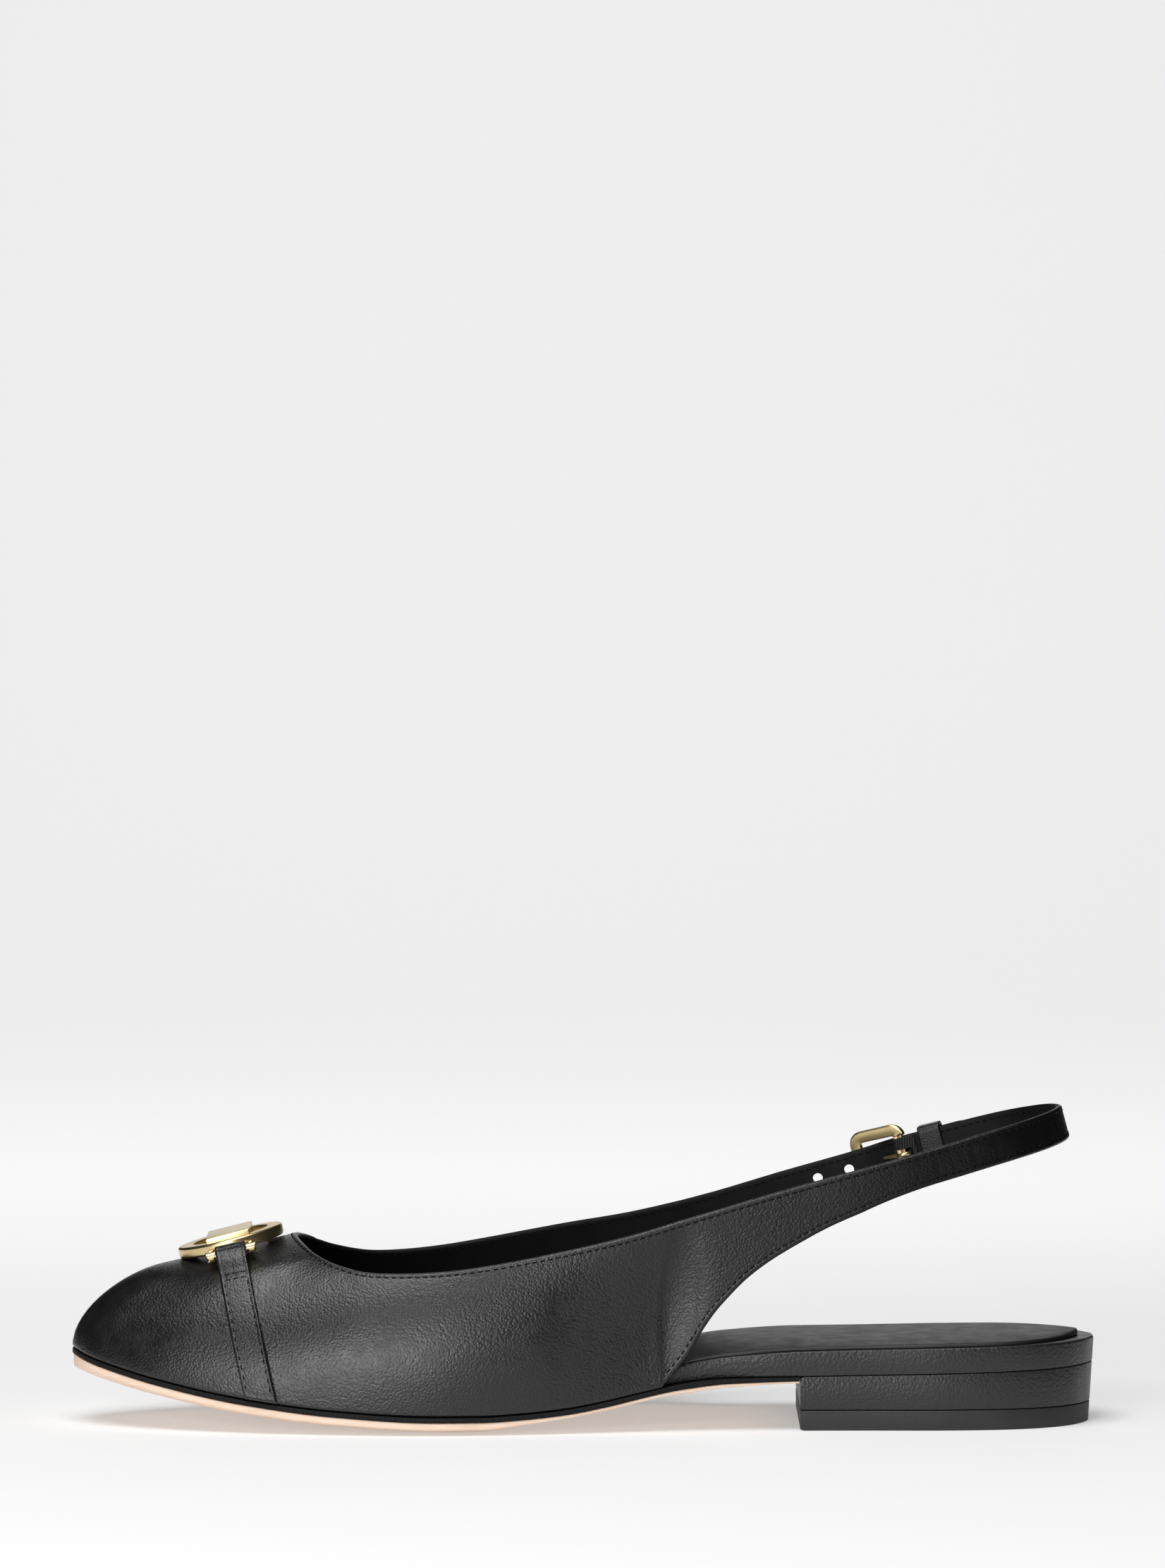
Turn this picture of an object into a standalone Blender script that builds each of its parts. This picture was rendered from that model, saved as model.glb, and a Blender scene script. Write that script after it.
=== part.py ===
"""Sling back flat, right shoe, modelled piece by piece in metres.

The toe points along -X, the inner (medial) side is -Y and +Z is up. The origin is on the floor,
in the middle of the shoe's length and width.
"""
import math

import bmesh
import bpy
import numpy as np
from mathutils import Matrix, Vector

MM = 0.001

# Overall sizes of the last
LENGTH = 255 * MM
BALL_WIDTH = 76.8 * MM
SEAT_WIDTH = 53 * MM
TOE_SPRING = 14 * MM
SEAT_RISE = 8.9 * MM
THROAT_SETBACK = 56 * MM
THROAT_HEIGHT = 46.8 * MM
COLLAR_LENGTH = 138 * MM
STRAP_RUN = 52.7 * MM
STRAP_HEIGHT = 79 * MM
STRAP_SPAN = 59 * MM
STRAP_WIDTH = 8.6 * MM
STRAP_LEAN = math.radians(15)
STRAP_FLARE = 0.22
FLARE_RUN = 0.30
QUARTER_END = 147 * MM
VAMP_SLOPE = 0.2235

# Walls, layers and clearances
GAP = 0.3 * MM
WALL = 1.5 * MM
SOLE_THICKNESS = 3.2 * MM
SOLE_MARGIN = 0.3 * MM
SOLE_EDGE_LIFT = 0.5
SOLE_EDGE_POWER = 7
RAND_THICKNESS = 0.9 * MM
BED_THICKNESS = 6.4 * MM
SOCK_THICKNESS = 1.0 * MM
SOCK_CROWN = 1.2 * MM
SOCK_SETBACK = 4 * MM
SOCK_MARGIN = 1.2 * MM
SOCK_EDGE = 0.6
LIFT_THICKNESS = 5.2 * MM
HEEL_LENGTH = 73.8 * MM
HEEL_TAPER = 1.3 * MM
TAPER_HEIGHT = 21 * MM
SIDE_BULGE = 1.8 * MM
REAR_FLARE = 1.2 * MM
LATERAL_FULLNESS = 1.05
TOE_TIP_SHIFT = 3 * MM

# Vamp straps and ornament
ORNAMENT_SETBACK = 40 * MM
RING_DIAMETER = 26.7 * MM
RING_BAND = 4 * MM
RING_THICKNESS = 2.4 * MM
RING_STAND = 0.5 * MM
RING_TILT = math.radians(1.4)
PLAQUE_LENGTH = 11.2 * MM
PLAQUE_WIDTH = 21 * MM
PLAQUE_THICKNESS = 1.8 * MM
PLAQUE_RISE = 1.2 * MM
PLAQUE_BEVEL = 0.5 * MM
LUG_BEVEL = 0.3 * MM
LUG_WIDTH = 1.9 * MM
LUG_HEIGHT = 3.7 * MM
LUG_DEPTH = 4.6 * MM
LUG_OVERLAP = 2.0 * MM
PIN_DIAMETER = 1.4 * MM
PIN_DROP = 1.9 * MM
LUG_SHIFT = -0.2 * MM
VAMP_STRAP_WIDTH = 7.4 * MM
VAMP_STRAP_SPREAD = 0.6 * MM
VAMP_STRAP_THICKNESS = 1.0 * MM
VAMP_FOLD = 6.5 * MM
VAMP_FOLD_TURNS = (-35, 170)
PIN_ROOM = 1.7 * GAP

# Buckle side of the sling strap
BAR_PLACE = 14.2 * MM
BAR_DIAMETER = 1.5 * MM
FOLD_THICKNESS = 0.9 * MM
FOLD_RETURN = 3.6 * MM
BILLET_REACH = 34 * MM
BILLET_TIP = 5 * MM
BILLET_LIFT = 1.8 * MM
BILLET_RISE_START = 1 * MM
BILLET_RISE_END = 11 * MM
HOLE_DIAMETER = 2.5 * MM
HOLE_PITCH = 7.5 * MM
FRAME_LENGTH = 13.4 * MM
FRAME_ROOM = 1.7 * MM
FRAME_WIRE = 2.0 * MM
HOLE_START = 7.1 * MM
HOLE_DROP = 5.0 * MM
PRONG_DIAMETER = 1.1 * MM
PRONG_SLOT = 2.8 * MM
PRONG_LOOP = (150, 360)
KEEPER_PLACE = 21.9 * MM
KEEPER_LENGTH = 5.8 * MM
KEEPER_WALL = 0.9 * MM
KEEPER_ROOM = 0.4 * MM
KEEPER_BEVEL = 0.35 * MM

# Heights above the strap's skin and places worked out from the sizes above
BAR_LIFT = -(FOLD_THICKNESS + GAP + BAR_DIAMETER / 2)
FRONT_LIFT = GAP + FRAME_WIRE / 2
PRONG_TURN = BAR_DIAMETER / 2 + GAP + PRONG_DIAMETER / 2
SLOPE_ANGLE = math.atan(VAMP_SLOPE)
SLOPE_AXIS = np.array([math.cos(SLOPE_ANGLE), 0, math.sin(SLOPE_ANGLE)])

MERGE = 0.00001
TIP_FLAT = 0.1 * MM

# Outline of the shoe from above. "along" is a share of LENGTH, the half widths are shares of
# BALL_WIDTH on each side plus a share of SEAT_WIDTH on both.
PLAN = (
    # along, medial, lateral, seat
    (0.016, 0.175, 0.096, 0.0),
    (0.040, 0.243, 0.176, 0.0),
    (0.080, 0.324, 0.268, 0.0),
    (0.120, 0.378, 0.332, 0.0),
    (0.180, 0.433, 0.405, 0.0),
    (0.240, 0.469, 0.448, 0.0),
    (0.300, 0.493, 0.482, 0.0),
    (0.360, 0.499, 0.496, 0.0),
    (0.420, 0.478, 0.494, 0.0),
    (0.480, 0.444, 0.486, 0.0),
    (0.540, 0.408, 0.457, 0.0),
    (0.600, 0.190, 0.245, 0.27),
    (0.670, 0.050, 0.090, 0.44),
    (0.760, 0.000, 0.012, 0.502),
    (0.860, 0.000, 0.000, 0.500),
    (0.920, 0.000, 0.000, 0.453),
    (0.960, 0.000, 0.000, 0.355),
    (0.985, 0.000, 0.000, 0.220),
)

# Height of the shoe's layers along its length: the rise of the whole stack above the floor as
# shares of TOE_SPRING and SEAT_RISE, then the outsole and the platform as shares of theirs.
LAYERS = (
    # along, spring, seat, sole, rand, bed
    (0.00, 1.000, 0.000, 1.00, 1.00, 0.31),
    (0.03, 0.825, 0.000, 1.00, 1.00, 0.31),
    (0.09, 0.555, 0.000, 1.00, 1.00, 0.31),
    (0.17, 0.280, 0.000, 1.00, 1.00, 0.31),
    (0.26, 0.090, 0.000, 1.00, 1.00, 0.31),
    (0.36, 0.000, 0.000, 1.00, 1.00, 0.31),
    (0.40, 0.000, 0.000, 1.00, 1.00, 0.31),
    (0.44, 0.000, 0.056, 0.70, 1.00, 0.34),
    (0.48, 0.000, 0.165, 0.50, 1.00, 0.41),
    (0.52, 0.000, 0.360, 0.46, 1.00, 0.50),
    (0.56, 0.000, 0.620, 0.46, 1.00, 0.62),
    (0.60, 0.000, 0.860, 0.56, 1.20, 0.70),
    (0.64, 0.000, 0.965, 0.50, 1.00, 0.81),
    (0.71, 0.000, 1.000, 0.28, 0.70, 0.97),
    (0.87, 0.000, 1.080, 0.28, 0.70, 1.00),
    (1.00, 0.000, 1.170, 0.28, 0.70, 0.97),
)

# Throat and collar edge, from the middle of the throat to the start of the strap, and the
# strap's top edge on to the middle of its back. "run" is a share of COLLAR_LENGTH or STRAP_RUN,
# the half width a share of BALL_WIDTH plus one of STRAP_SPAN, the height a share of
# THROAT_HEIGHT plus one of STRAP_HEIGHT, and on the lateral side one more of THROAT_HEIGHT.
COLLAR = (
    # run, ball, span, throat, strap, lateral
    (0.019, 0.176, 0.000, 0.965, 0.000, 0.000),
    (0.040, 0.247, 0.000, 0.927, 0.000, 0.000),
    (0.068, 0.303, 0.000, 0.893, 0.000, 0.000),
    (0.123, 0.366, 0.000, 0.855, 0.000, 0.000),
    (0.178, 0.3945, 0.000, 0.800, 0.029, 0.003),
    (0.254, 0.414, 0.000, 0.690, 0.100, 0.012),
    (0.326, 0.400, 0.032, 0.580, 0.180, 0.020),
    (0.486, 0.270, 0.205, 0.340, 0.373, 0.022),
    (0.609, 0.140, 0.356, 0.180, 0.517, 0.003),
    (0.746, 0.040, 0.470, 0.050, 0.665, -0.017),
    (0.884, 0.000, 0.508, 0.000, 0.765, -0.014),
    (1.000, 0.000, 0.500, 0.000, 0.820, -0.010),
)
STRAP_TOP = (
    # run, span, strap
    (0.228, 0.486, 0.861),
    (0.400, 0.463, 0.893),
    (0.588, 0.429, 0.929),
    (0.760, 0.369, 0.960),
    (0.873, 0.288, 0.979),
    (0.956, 0.178, 0.993),
    (1.000, 0.000, 1.000),
)

# Rear edge of the quarter, from its corner on the sole to the strap's lower edge
REAR_EDGE = (
    # along, rise
    (0.119, 0.177),
    (0.195, 0.320),
    (0.262, 0.430),
    (0.332, 0.521),
    (0.417, 0.619),
    (0.527, 0.716),
    (0.664, 0.812),
    (0.823, 0.911),
)

# Ribs of the upper. "station" is 0 at the toe, 1 at the quarter's corner and 2 where the strap
# starts; "collar" is the share of the collar edge that the rib ends at. "reach" is how far in
# the wall turns over into the vamp's roof, as a share of BALL_WIDTH, and the rest are shares.
RIBS = (
    # station, collar, reach, slope, bulge, round
    (0.00, 0.000, 0.290, 1.0, 0.0, 1.0),
    (0.20, 0.070, 0.300, 1.5, 0.0, 1.0),
    (0.36, 0.150, 0.360, 1.6, 0.2, 1.0),
    (0.55, 0.268, 0.340, 1.0, 0.6, 1.0),
    (0.77, 0.456, 0.270, 0.4, 1.0, 1.0),
    (1.00, 0.708, 0.235, 0.0, 1.0, 0.9),
    (1.24, 0.747, 0.210, 0.0, 0.7, 0.6),
    (1.45, 0.782, 0.190, 0.0, 0.4, 0.3),
    (1.67, 0.843, 0.160, 0.0, 0.15, 0.1),
    (2.00, 1.000, 0.160, 0.0, 0.0, 0.0),
)
RIB_STEPS = 48
RIDGE_SHARE = 0.76
PIN_EASE = 2.2 * MM
CURVE_STEPS = 24
MEDIAL, LATERAL = -1, 1
STRAP_START, STRAP_BACK = 2.0, 3.0


def column(table, index, level_start=False):
    """One column of a table as a smooth function of its first column."""
    xs = np.array([row[0] for row in table])
    ys = np.array([row[index] for row in table])
    steps = np.diff(xs)
    slopes = np.diff(ys) / steps
    tangents = np.zeros_like(ys)
    tangents[0] = 0 if level_start else slopes[0]
    tangents[-1] = slopes[-1]
    for i in range(1, len(xs) - 1):
        before, after = slopes[i - 1], slopes[i]
        if before * after > 0:
            tangents[i] = 2 * before * after / (before + after)

    def at(x):
        i = int(np.clip(np.searchsorted(xs, x) - 1, 0, len(xs) - 2))
        t = float(np.clip((x - xs[i]) / steps[i], 0, 1))
        return ((1 + 2 * t) * (1 - t) ** 2 * ys[i] + t * (1 - t) ** 2 * steps[i] * tangents[i]
                + t * t * (3 - 2 * t) * ys[i + 1] + t * t * (t - 1) * steps[i] * tangents[i + 1])
    return at


def curve_through(points, closed=False):
    """Samples of a smooth curve that passes through the points."""
    pts = np.array(points, dtype=float)
    count = len(pts)
    if closed:
        pts = np.vstack([pts[-1], pts, pts[0], pts[1]])
    else:
        pts = np.vstack([2 * pts[0] - pts[1], pts, 2 * pts[-1] - pts[-2]])
    chords = np.sqrt(np.linalg.norm(np.diff(pts, axis=0), axis=1))
    samples = []
    for i in range(1, count + (1 if closed else 0)):
        before, span, after = chords[i - 1], chords[i], chords[i + 1]
        p0, p1, p2, p3 = pts[i - 1:i + 3]
        start = span * ((p1 - p0) / before - (p2 - p0) / (before + span) + (p2 - p1) / span)
        end = span * ((p2 - p1) / span - (p3 - p1) / (span + after) + (p3 - p2) / after)
        for step in range(CURVE_STEPS):
            t = step / CURVE_STEPS
            samples.append((1 + 2 * t) * (1 - t) ** 2 * p1 + t * (1 - t) ** 2 * start
                           + t * t * (3 - 2 * t) * p2 + t * t * (t - 1) * end)
    samples.append(pts[1] if closed else pts[count])
    return np.array(samples)


class Path:
    """A polyline read by the share of its length."""

    def __init__(self, points):
        self.points = np.array(points)
        steps = np.linalg.norm(np.diff(self.points, axis=0), axis=1)
        self.places = np.concatenate([[0], np.cumsum(steps)])
        self.length = self.places[-1]

    def at(self, share):
        place = np.clip(share, 0, 1) * self.length
        return np.array([np.interp(place, self.places, axis) for axis in self.points.T])


# The outline from above and the heights of the layers

def plan_chains():
    """The outline from toe to back as (distance from the toe, y), medial and lateral."""
    medial = [(a * LENGTH, -(m * BALL_WIDTH + s * SEAT_WIDTH)) for a, m, _, s in PLAN]
    lateral = [(a * LENGTH, lat * BALL_WIDTH + s * SEAT_WIDTH) for a, _, lat, s in PLAN]
    loop = [(0, -TOE_TIP_SHIFT)] + lateral + [(LENGTH, 0)] + medial[::-1]
    samples = curve_through(loop, closed=True)
    turn = (len(PLAN) + 1) * CURVE_STEPS
    return samples[turn:][::-1], samples[:turn + 1]


PLAN_CHAINS = dict(zip((MEDIAL, LATERAL), plan_chains()))


def inset_chain(side, inset):
    """The outline on one side moved inwards by inset(distance from the toe)."""
    chain = PLAN_CHAINS[side]
    tangent = np.gradient(chain, axis=0)
    tangent[0] = (0, side)
    tangent[-1] = (0, -side)
    tangent /= np.linalg.norm(tangent, axis=1)[:, None]
    inwards = np.stack([tangent[:, 1], -tangent[:, 0]], axis=1) * side
    return chain + inwards * np.array([[inset(d)] for d in chain[:, 0]])


class Outline:
    """An outline whose two edges are read at a distance from the toe."""

    def __init__(self, inset):
        self.chains = {side: inset_chain(side, inset) for side in (MEDIAL, LATERAL)}
        self.first = max(chain[0, 0] for chain in self.chains.values()) + TIP_FLAT
        self.last = min(chain[-1, 0] for chain in self.chains.values()) - TIP_FLAT

    def edge(self, side, d):
        chain = self.chains[side]
        return float(np.interp(d, chain[:, 0], chain[:, 1]))

    def across(self, d, v):
        """y at a share v from the medial edge to the lateral one."""
        medial = self.edge(MEDIAL, d)
        return medial + (self.edge(LATERAL, d) - medial) * v


spring_share = column(LAYERS, 1)
seat_share = column(LAYERS, 2)
sole_share = column(LAYERS, 3)
rand_share = column(LAYERS, 4)
bed_share = column(LAYERS, 5)


def rise(d):
    return spring_share(d / LENGTH) * TOE_SPRING + seat_share(d / LENGTH) * SEAT_RISE


def rand_top(d):
    return rise(d) + SOLE_THICKNESS + GAP + RAND_THICKNESS


def sole_top(d):
    return rand_top(d) - rand_share(d / LENGTH) * RAND_THICKNESS - GAP


def sole_bottom(d):
    return sole_top(d) - sole_share(d / LENGTH) * SOLE_THICKNESS


def feather(d):
    """Where the upper and the platform sit on the rand."""
    return rand_top(d) + GAP


def bed_top(d):
    return feather(d) + bed_share(d / LENGTH) * BED_THICKNESS


def place(d, y, z):
    return Vector((d - LENGTH / 2, y, z))


# The upper's skin: ribs between the feather line and the collar

def collar_points(side):
    """The collar edge on one side, from the throat to the strap's start, and on to its back."""
    width = BALL_WIDTH * (LATERAL_FULLNESS if side == LATERAL else 1)
    lateral_share = 1 if side == LATERAL else 0
    collar = [(THROAT_SETBACK + run * COLLAR_LENGTH,
               side * (ball * width + span * STRAP_SPAN),
               (throat + extra * lateral_share) * THROAT_HEIGHT + strap * STRAP_HEIGHT)
              for run, ball, span, throat, strap, extra in COLLAR]
    strap = [(THROAT_SETBACK + COLLAR_LENGTH + run * STRAP_RUN, side * span * STRAP_SPAN,
              share * STRAP_HEIGHT) for run, span, share in STRAP_TOP]
    return collar, strap


def collar_paths():
    medial, medial_strap = collar_points(MEDIAL)
    lateral, lateral_strap = collar_points(LATERAL)
    loop = [(THROAT_SETBACK, 0, THROAT_HEIGHT)] + medial + medial_strap
    loop += lateral_strap[-2::-1] + lateral[::-1]
    samples = curve_through(loop, closed=True)
    turns = np.array([0, len(medial), len(medial) + len(medial_strap),
                      len(medial) + 2 * len(medial_strap), len(loop)]) * CURVE_STEPS
    return {MEDIAL: (Path(samples[:turns[1] + 1]), Path(samples[turns[1]:turns[2] + 1])),
            LATERAL: (Path(samples[turns[3]:][::-1]), Path(samples[turns[2]:turns[3] + 1][::-1]))}


COLLAR_PATHS = collar_paths()
STRAP_DROP = np.array([math.sin(STRAP_LEAN), 0, -math.cos(STRAP_LEAN)]) * STRAP_WIDTH


def strap_drop(station):
    """From the strap's top edge to its lower one; it is wider where it leaves the quarter."""
    left = max(0.0, 1 - (station - STRAP_START) / FLARE_RUN)
    return STRAP_DROP * (1 + STRAP_FLARE * left * left)


def feather_path(side):
    chain = PLAN_CHAINS[side]
    chain = chain[chain[:, 0] <= QUARTER_END]
    end = (QUARTER_END, Outline(lambda d: 0).edge(side, QUARTER_END))
    chain = np.vstack([chain, end])
    return Path([(d, y, feather(d)) for d, y in chain])


def rear_path(side, corner):
    start = COLLAR_PATHS[side][1].at(0) + strap_drop(STRAP_START)
    points = [corner]
    for along, up in REAR_EDGE:
        flare = REAR_FLARE * math.sin(math.pi * up)
        points.append((corner[0] + along * (start[0] - corner[0]),
                       corner[1] + up * (start[1] - corner[1]) + side * flare,
                       corner[2] + up * (start[2] - corner[2])))
    beyond = COLLAR_PATHS[side][1].at(FLARE_RUN / 2) + strap_drop(STRAP_START + FLARE_RUN / 2)
    return Path(curve_through(points + [start, beyond])[:-CURVE_STEPS])


FEATHER_PATHS = {side: feather_path(side) for side in (MEDIAL, LATERAL)}
REAR_PATHS = {side: rear_path(side, FEATHER_PATHS[side].at(1)) for side in (MEDIAL, LATERAL)}

rib_collar = column(RIBS, 1)
rib_reach = column(RIBS, 2, level_start=True)
rib_slope = column(RIBS, 3, level_start=True)
rib_bulge = column(RIBS, 4, level_start=True)
rib_round = column(RIBS, 5)


def rib_ends(side, station):
    collar, strap = COLLAR_PATHS[side]
    if station >= STRAP_START:
        top = strap.at(station - STRAP_START)
        return top + strap_drop(station), top
    top = collar.at(rib_collar(station))
    if station >= 1:
        return REAR_PATHS[side].at(station - 1), top
    return FEATHER_PATHS[side].at(station), top


def rib(side, station):
    """One rib of the skin as a Path, from its foot to the collar."""
    foot, top = rib_ends(side, station)
    shares = np.linspace(0, 1, RIB_STEPS)[:, None]
    straight = foot + (top - foot) * shares
    roundness = rib_round(station)
    if roundness <= 0:
        return Path(straight)
    run = np.linalg.norm((top - foot)[:2])
    reach = rib_reach(station) * BALL_WIDTH
    turn = math.acos(max(1 - run / reach, 0))
    angles = np.linspace(0, turn, RIB_STEPS)
    runs = reach * (1 - np.cos(angles))
    walls = np.sin(angles) / math.sin(turn)
    if reach < run:
        rest = np.linspace(reach, run, RIB_STEPS)[1:]
        runs = np.concatenate([runs, rest])
        walls = np.concatenate([walls, np.ones_like(rest)])
    roof = top[2] - VAMP_SLOPE * rib_slope(station) * (run - runs)
    heights = foot[2] + (roof - foot[2]) * walls
    outwards = (foot - top) * (1, 1, 0) / run
    bulge = SIDE_BULGE * rib_bulge(station)
    swell = np.sin(math.pi * (heights - foot[2]) / (top[2] - foot[2])) * bulge
    curved = Path(np.column_stack([foot[:2] + (-outwards[:2]) * (runs - swell)[:, None], heights]))
    lined = np.array([curved.at(float(share)) for share in shares[:, 0]])
    return Path(straight + (lined - straight) * roundness)


RIB_CACHE = {}


def cached_rib(side, station):
    key = (side, round(station, 6))
    if key not in RIB_CACHE:
        RIB_CACHE[key] = rib(side, station)
    return RIB_CACHE[key]


def skin(track, up):
    """A point of the skin. The track runs from the lateral billet (negative) over the toe (0)
    and along the medial side to the back (STRAP_BACK), then forward on the lateral side."""
    if track > STRAP_BACK:
        return cached_rib(LATERAL, 2 * STRAP_BACK - track).at(up)
    if track < 0:
        return cached_rib(LATERAL, -track).at(up)
    return cached_rib(MEDIAL, track).at(up)


def skin_normal(track, up):
    """The outward normal of the skin."""
    step = 0.004
    along = skin(track + step, up) - skin(track - step, up)
    across = skin(track, min(up + step, 1)) - skin(track, max(up - step, 0))
    normal = np.cross(along, across)
    return normal / np.linalg.norm(normal)


def off_skin(track, up, lift):
    return skin(track, up) + skin_normal(track, up) * lift


# Building helpers

MATERIALS = {}


def material(name, colour, roughness, metallic=0.0):
    made = bpy.data.materials.new(name)
    made.use_nodes = True
    shader = made.node_tree.nodes["Principled BSDF"]
    shader.inputs["Base Color"].default_value = (*colour, 1)
    shader.inputs["Roughness"].default_value = roughness
    shader.inputs["Metallic"].default_value = metallic
    made.diffuse_color = (*colour, 1)
    return made


def add_object(name, bm, finish, collection, smooth=35):
    mesh = bpy.data.meshes.new(name)
    bm.to_mesh(mesh)
    bm.free()
    mesh.materials.append(finish)
    mesh.shade_smooth()
    mesh.set_sharp_from_angle(angle=math.radians(smooth))
    made = bpy.data.objects.new(name, mesh)
    collection.objects.link(made)
    return made


def slab(name, cells, shape, finish, collection):
    """A sheet of cells given one cell of thickness, then bent by shape(u, v, w)."""
    bm = bmesh.new()
    bmesh.ops.create_grid(bm, x_segments=cells[0], y_segments=cells[1], size=0.5)
    sheet = bmesh.ops.extrude_face_region(bm, geom=bm.faces[:])
    raised = [item for item in sheet["geom"] if isinstance(item, bmesh.types.BMVert)]
    bmesh.ops.translate(bm, verts=raised, vec=(0, 0, 1))
    for vert in bm.verts:
        vert.co = shape(vert.co.x + 0.5, vert.co.y + 0.5, round(vert.co.z))
    bmesh.ops.remove_doubles(bm, verts=bm.verts, dist=MERGE)
    bmesh.ops.recalc_face_normals(bm, faces=bm.faces)
    return add_object(name, bm, finish, collection)


def layer(name, cells, outline, span, bottom, top, finish, collection, taper=None):
    """A layer of the sole between two heights, inside an outline."""
    first, last = span
    turn_end = last >= outline.last

    def shape(u, v, w):
        share = (1 - math.cos(math.pi * u)) / 2 if turn_end else 1 - math.cos(math.pi * u / 2)
        d = first + (last - first) * share
        z = top(d, v) if w else bottom(d, v)
        y = outline.across(d, v)
        if taper:
            d, y = taper(d, y, z)
        return place(d, y, z)
    return slab(name, cells, shape, finish, collection)


def ribbon(name, nodes, cells_across, point, scale, finish, collection):
    """A strip that follows nodes of (track, lift, thickness), offset square to its own course.
    point(track, across, lift) gives a place, and scale is the length of one unit of track."""
    nodes = np.array(nodes)
    course = nodes[:, :2] * (scale, 1)
    tangent = np.gradient(course, axis=0)
    tangent /= np.linalg.norm(tangent, axis=1)[:, None]
    normal = np.stack([-tangent[:, 1], tangent[:, 0]], axis=1)
    faces = [course + normal * nodes[:, 2:] / 2 * way for way in (1, -1)]
    cells = len(nodes) - 1

    def shape(u, v, w):
        track, lift = faces[w][round(u * cells)]
        d, y, z = point(track / scale, v, lift)
        return place(d, y, z)
    return slab(name, (cells, cells_across), shape, finish, collection)


def boolean(made, cutter, operation="DIFFERENCE"):
    """Cuts or joins with a helper, which is kept as a wire guide."""
    modifier = made.modifiers.new(cutter.name, "BOOLEAN")
    modifier.operation = operation
    modifier.object = cutter
    cutter.hide_render = True
    cutter.display_type = "WIRE"
    return made


def cube(name, size, matrix, collection, bevel=0.0):
    bm = bmesh.new()
    bmesh.ops.create_cube(bm, size=1)
    bmesh.ops.scale(bm, vec=size, verts=bm.verts)
    if bevel:
        bmesh.ops.bevel(bm, geom=bm.edges[:], offset=bevel, offset_type="OFFSET", segments=2,
                        profile=0.5, affect="EDGES", material=-1)
    bm.transform(matrix)
    return add_object(name, bm, MATERIALS["guide"], collection)


def cylinder(name, radius, start, end, collection, segments=16):
    start, end = Vector(start), Vector(end)
    bm = bmesh.new()
    bmesh.ops.create_cone(bm, cap_ends=True, segments=segments, radius1=radius, radius2=radius,
                          depth=(end - start).length)
    turn = (end - start).to_track_quat("Z", "Y").to_matrix().to_4x4()
    bm.transform(Matrix.Translation((start + end) / 2) @ turn)
    return add_object(name, bm, MATERIALS["guide"], collection)


def dress(made, finish):
    made.data.materials.clear()
    made.data.materials.append(MATERIALS[finish])
    return made


# Sole, platform, sock and heel

def heel_taper(d, y, z):
    """The heel and the platform above it narrow towards the floor."""
    drop = max(0.0, TAPER_HEIGHT - z) / TAPER_HEIGHT
    centre = LENGTH - SEAT_WIDTH / 2
    back = max(0.0, (d - centre) / (LENGTH - centre))
    return d - HEEL_TAPER * drop * back, y * (1 - 2 * HEEL_TAPER / SEAT_WIDTH * drop)


def blend(low, high, start, end):
    """A value that goes smoothly from low to high between two distances."""
    def at(d):
        share = float(np.clip((d - start) / (end - start), 0, 1))
        return low + (high - low) * share * share * (3 - 2 * share)
    return at


def make_sole(collection):
    breast = LENGTH - HEEL_LENGTH
    full = Outline(lambda d: 0.0)
    tread = Outline(lambda d: SOLE_MARGIN)
    tuck = WALL + 2 * GAP

    def tread_bottom(d, v):
        edge = abs(2 * v - 1) ** SOLE_EDGE_POWER
        return sole_bottom(d) + edge * SOLE_EDGE_LIFT * (sole_top(d) - sole_bottom(d))
    layer("outsole", (44, 10), tread, (tread.first, breast - GAP), tread_bottom,
          lambda d, v: sole_top(d), MATERIALS["tan_leather"], collection)
    layer("rand", (44, 2), full, (full.first, breast - GAP),
          lambda d, v: sole_top(d) + GAP, lambda d, v: rand_top(d),
          MATERIALS["black_edge"], collection)
    bed = Outline(blend(tuck, 0.0, QUARTER_END + 5 * MM, QUARTER_END + 30 * MM))
    layer("platform", (50, 4), bed, (bed.first, bed.last), lambda d, v: feather(d),
          lambda d, v: bed_top(d), MATERIALS["wrapped_leather"], collection, heel_taper)

    side_inset = blend(tuck + 4 * GAP, SOCK_MARGIN, QUARTER_END, QUARTER_END + 25 * MM)
    back_inset = blend(0.0, SOCK_SETBACK - SOCK_MARGIN, LENGTH - 25 * MM, LENGTH)
    cover = Outline(lambda d: side_inset(d) + back_inset(d))

    def sock_top(d, v):
        crown = max(0.0, 1 - (2 * v - 1) ** 4)
        return bed_top(d) + GAP + (SOCK_THICKNESS + SOCK_CROWN * crown) * SOCK_EDGE
    layer("sock", (44, 8), cover, (cover.first, cover.last), lambda d, v: bed_top(d) + GAP,
          sock_top, MATERIALS["sock_leather"], collection)
    return breast, full


def make_heel(collection, breast, full):
    """The heel block and its top lift, each an upright piece with a flat breast."""
    def piece(name, bottom, top, finish):
        def shape(u, v, w):
            d = breast + (full.last - breast) * math.sin(math.pi * u / 2)
            z = top(d) if w else bottom(d)
            d, y = heel_taper(d, full.across(d, v), z)
            return place(d, y, z)
        slab(name, (22, 4), shape, MATERIALS[finish], collection)
    piece("heel", lambda d: LIFT_THICKNESS, lambda d: feather(d) - GAP, "wrapped_leather")
    piece("top_lift", lambda d: 0.0, lambda d: LIFT_THICKNESS - GAP, "rubber")


# The upper with its sling strap

STRAP_ARC = COLLAR_PATHS[LATERAL][1].length
STRAP_SCALE = STRAP_ARC / (STRAP_BACK - STRAP_START)


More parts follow.
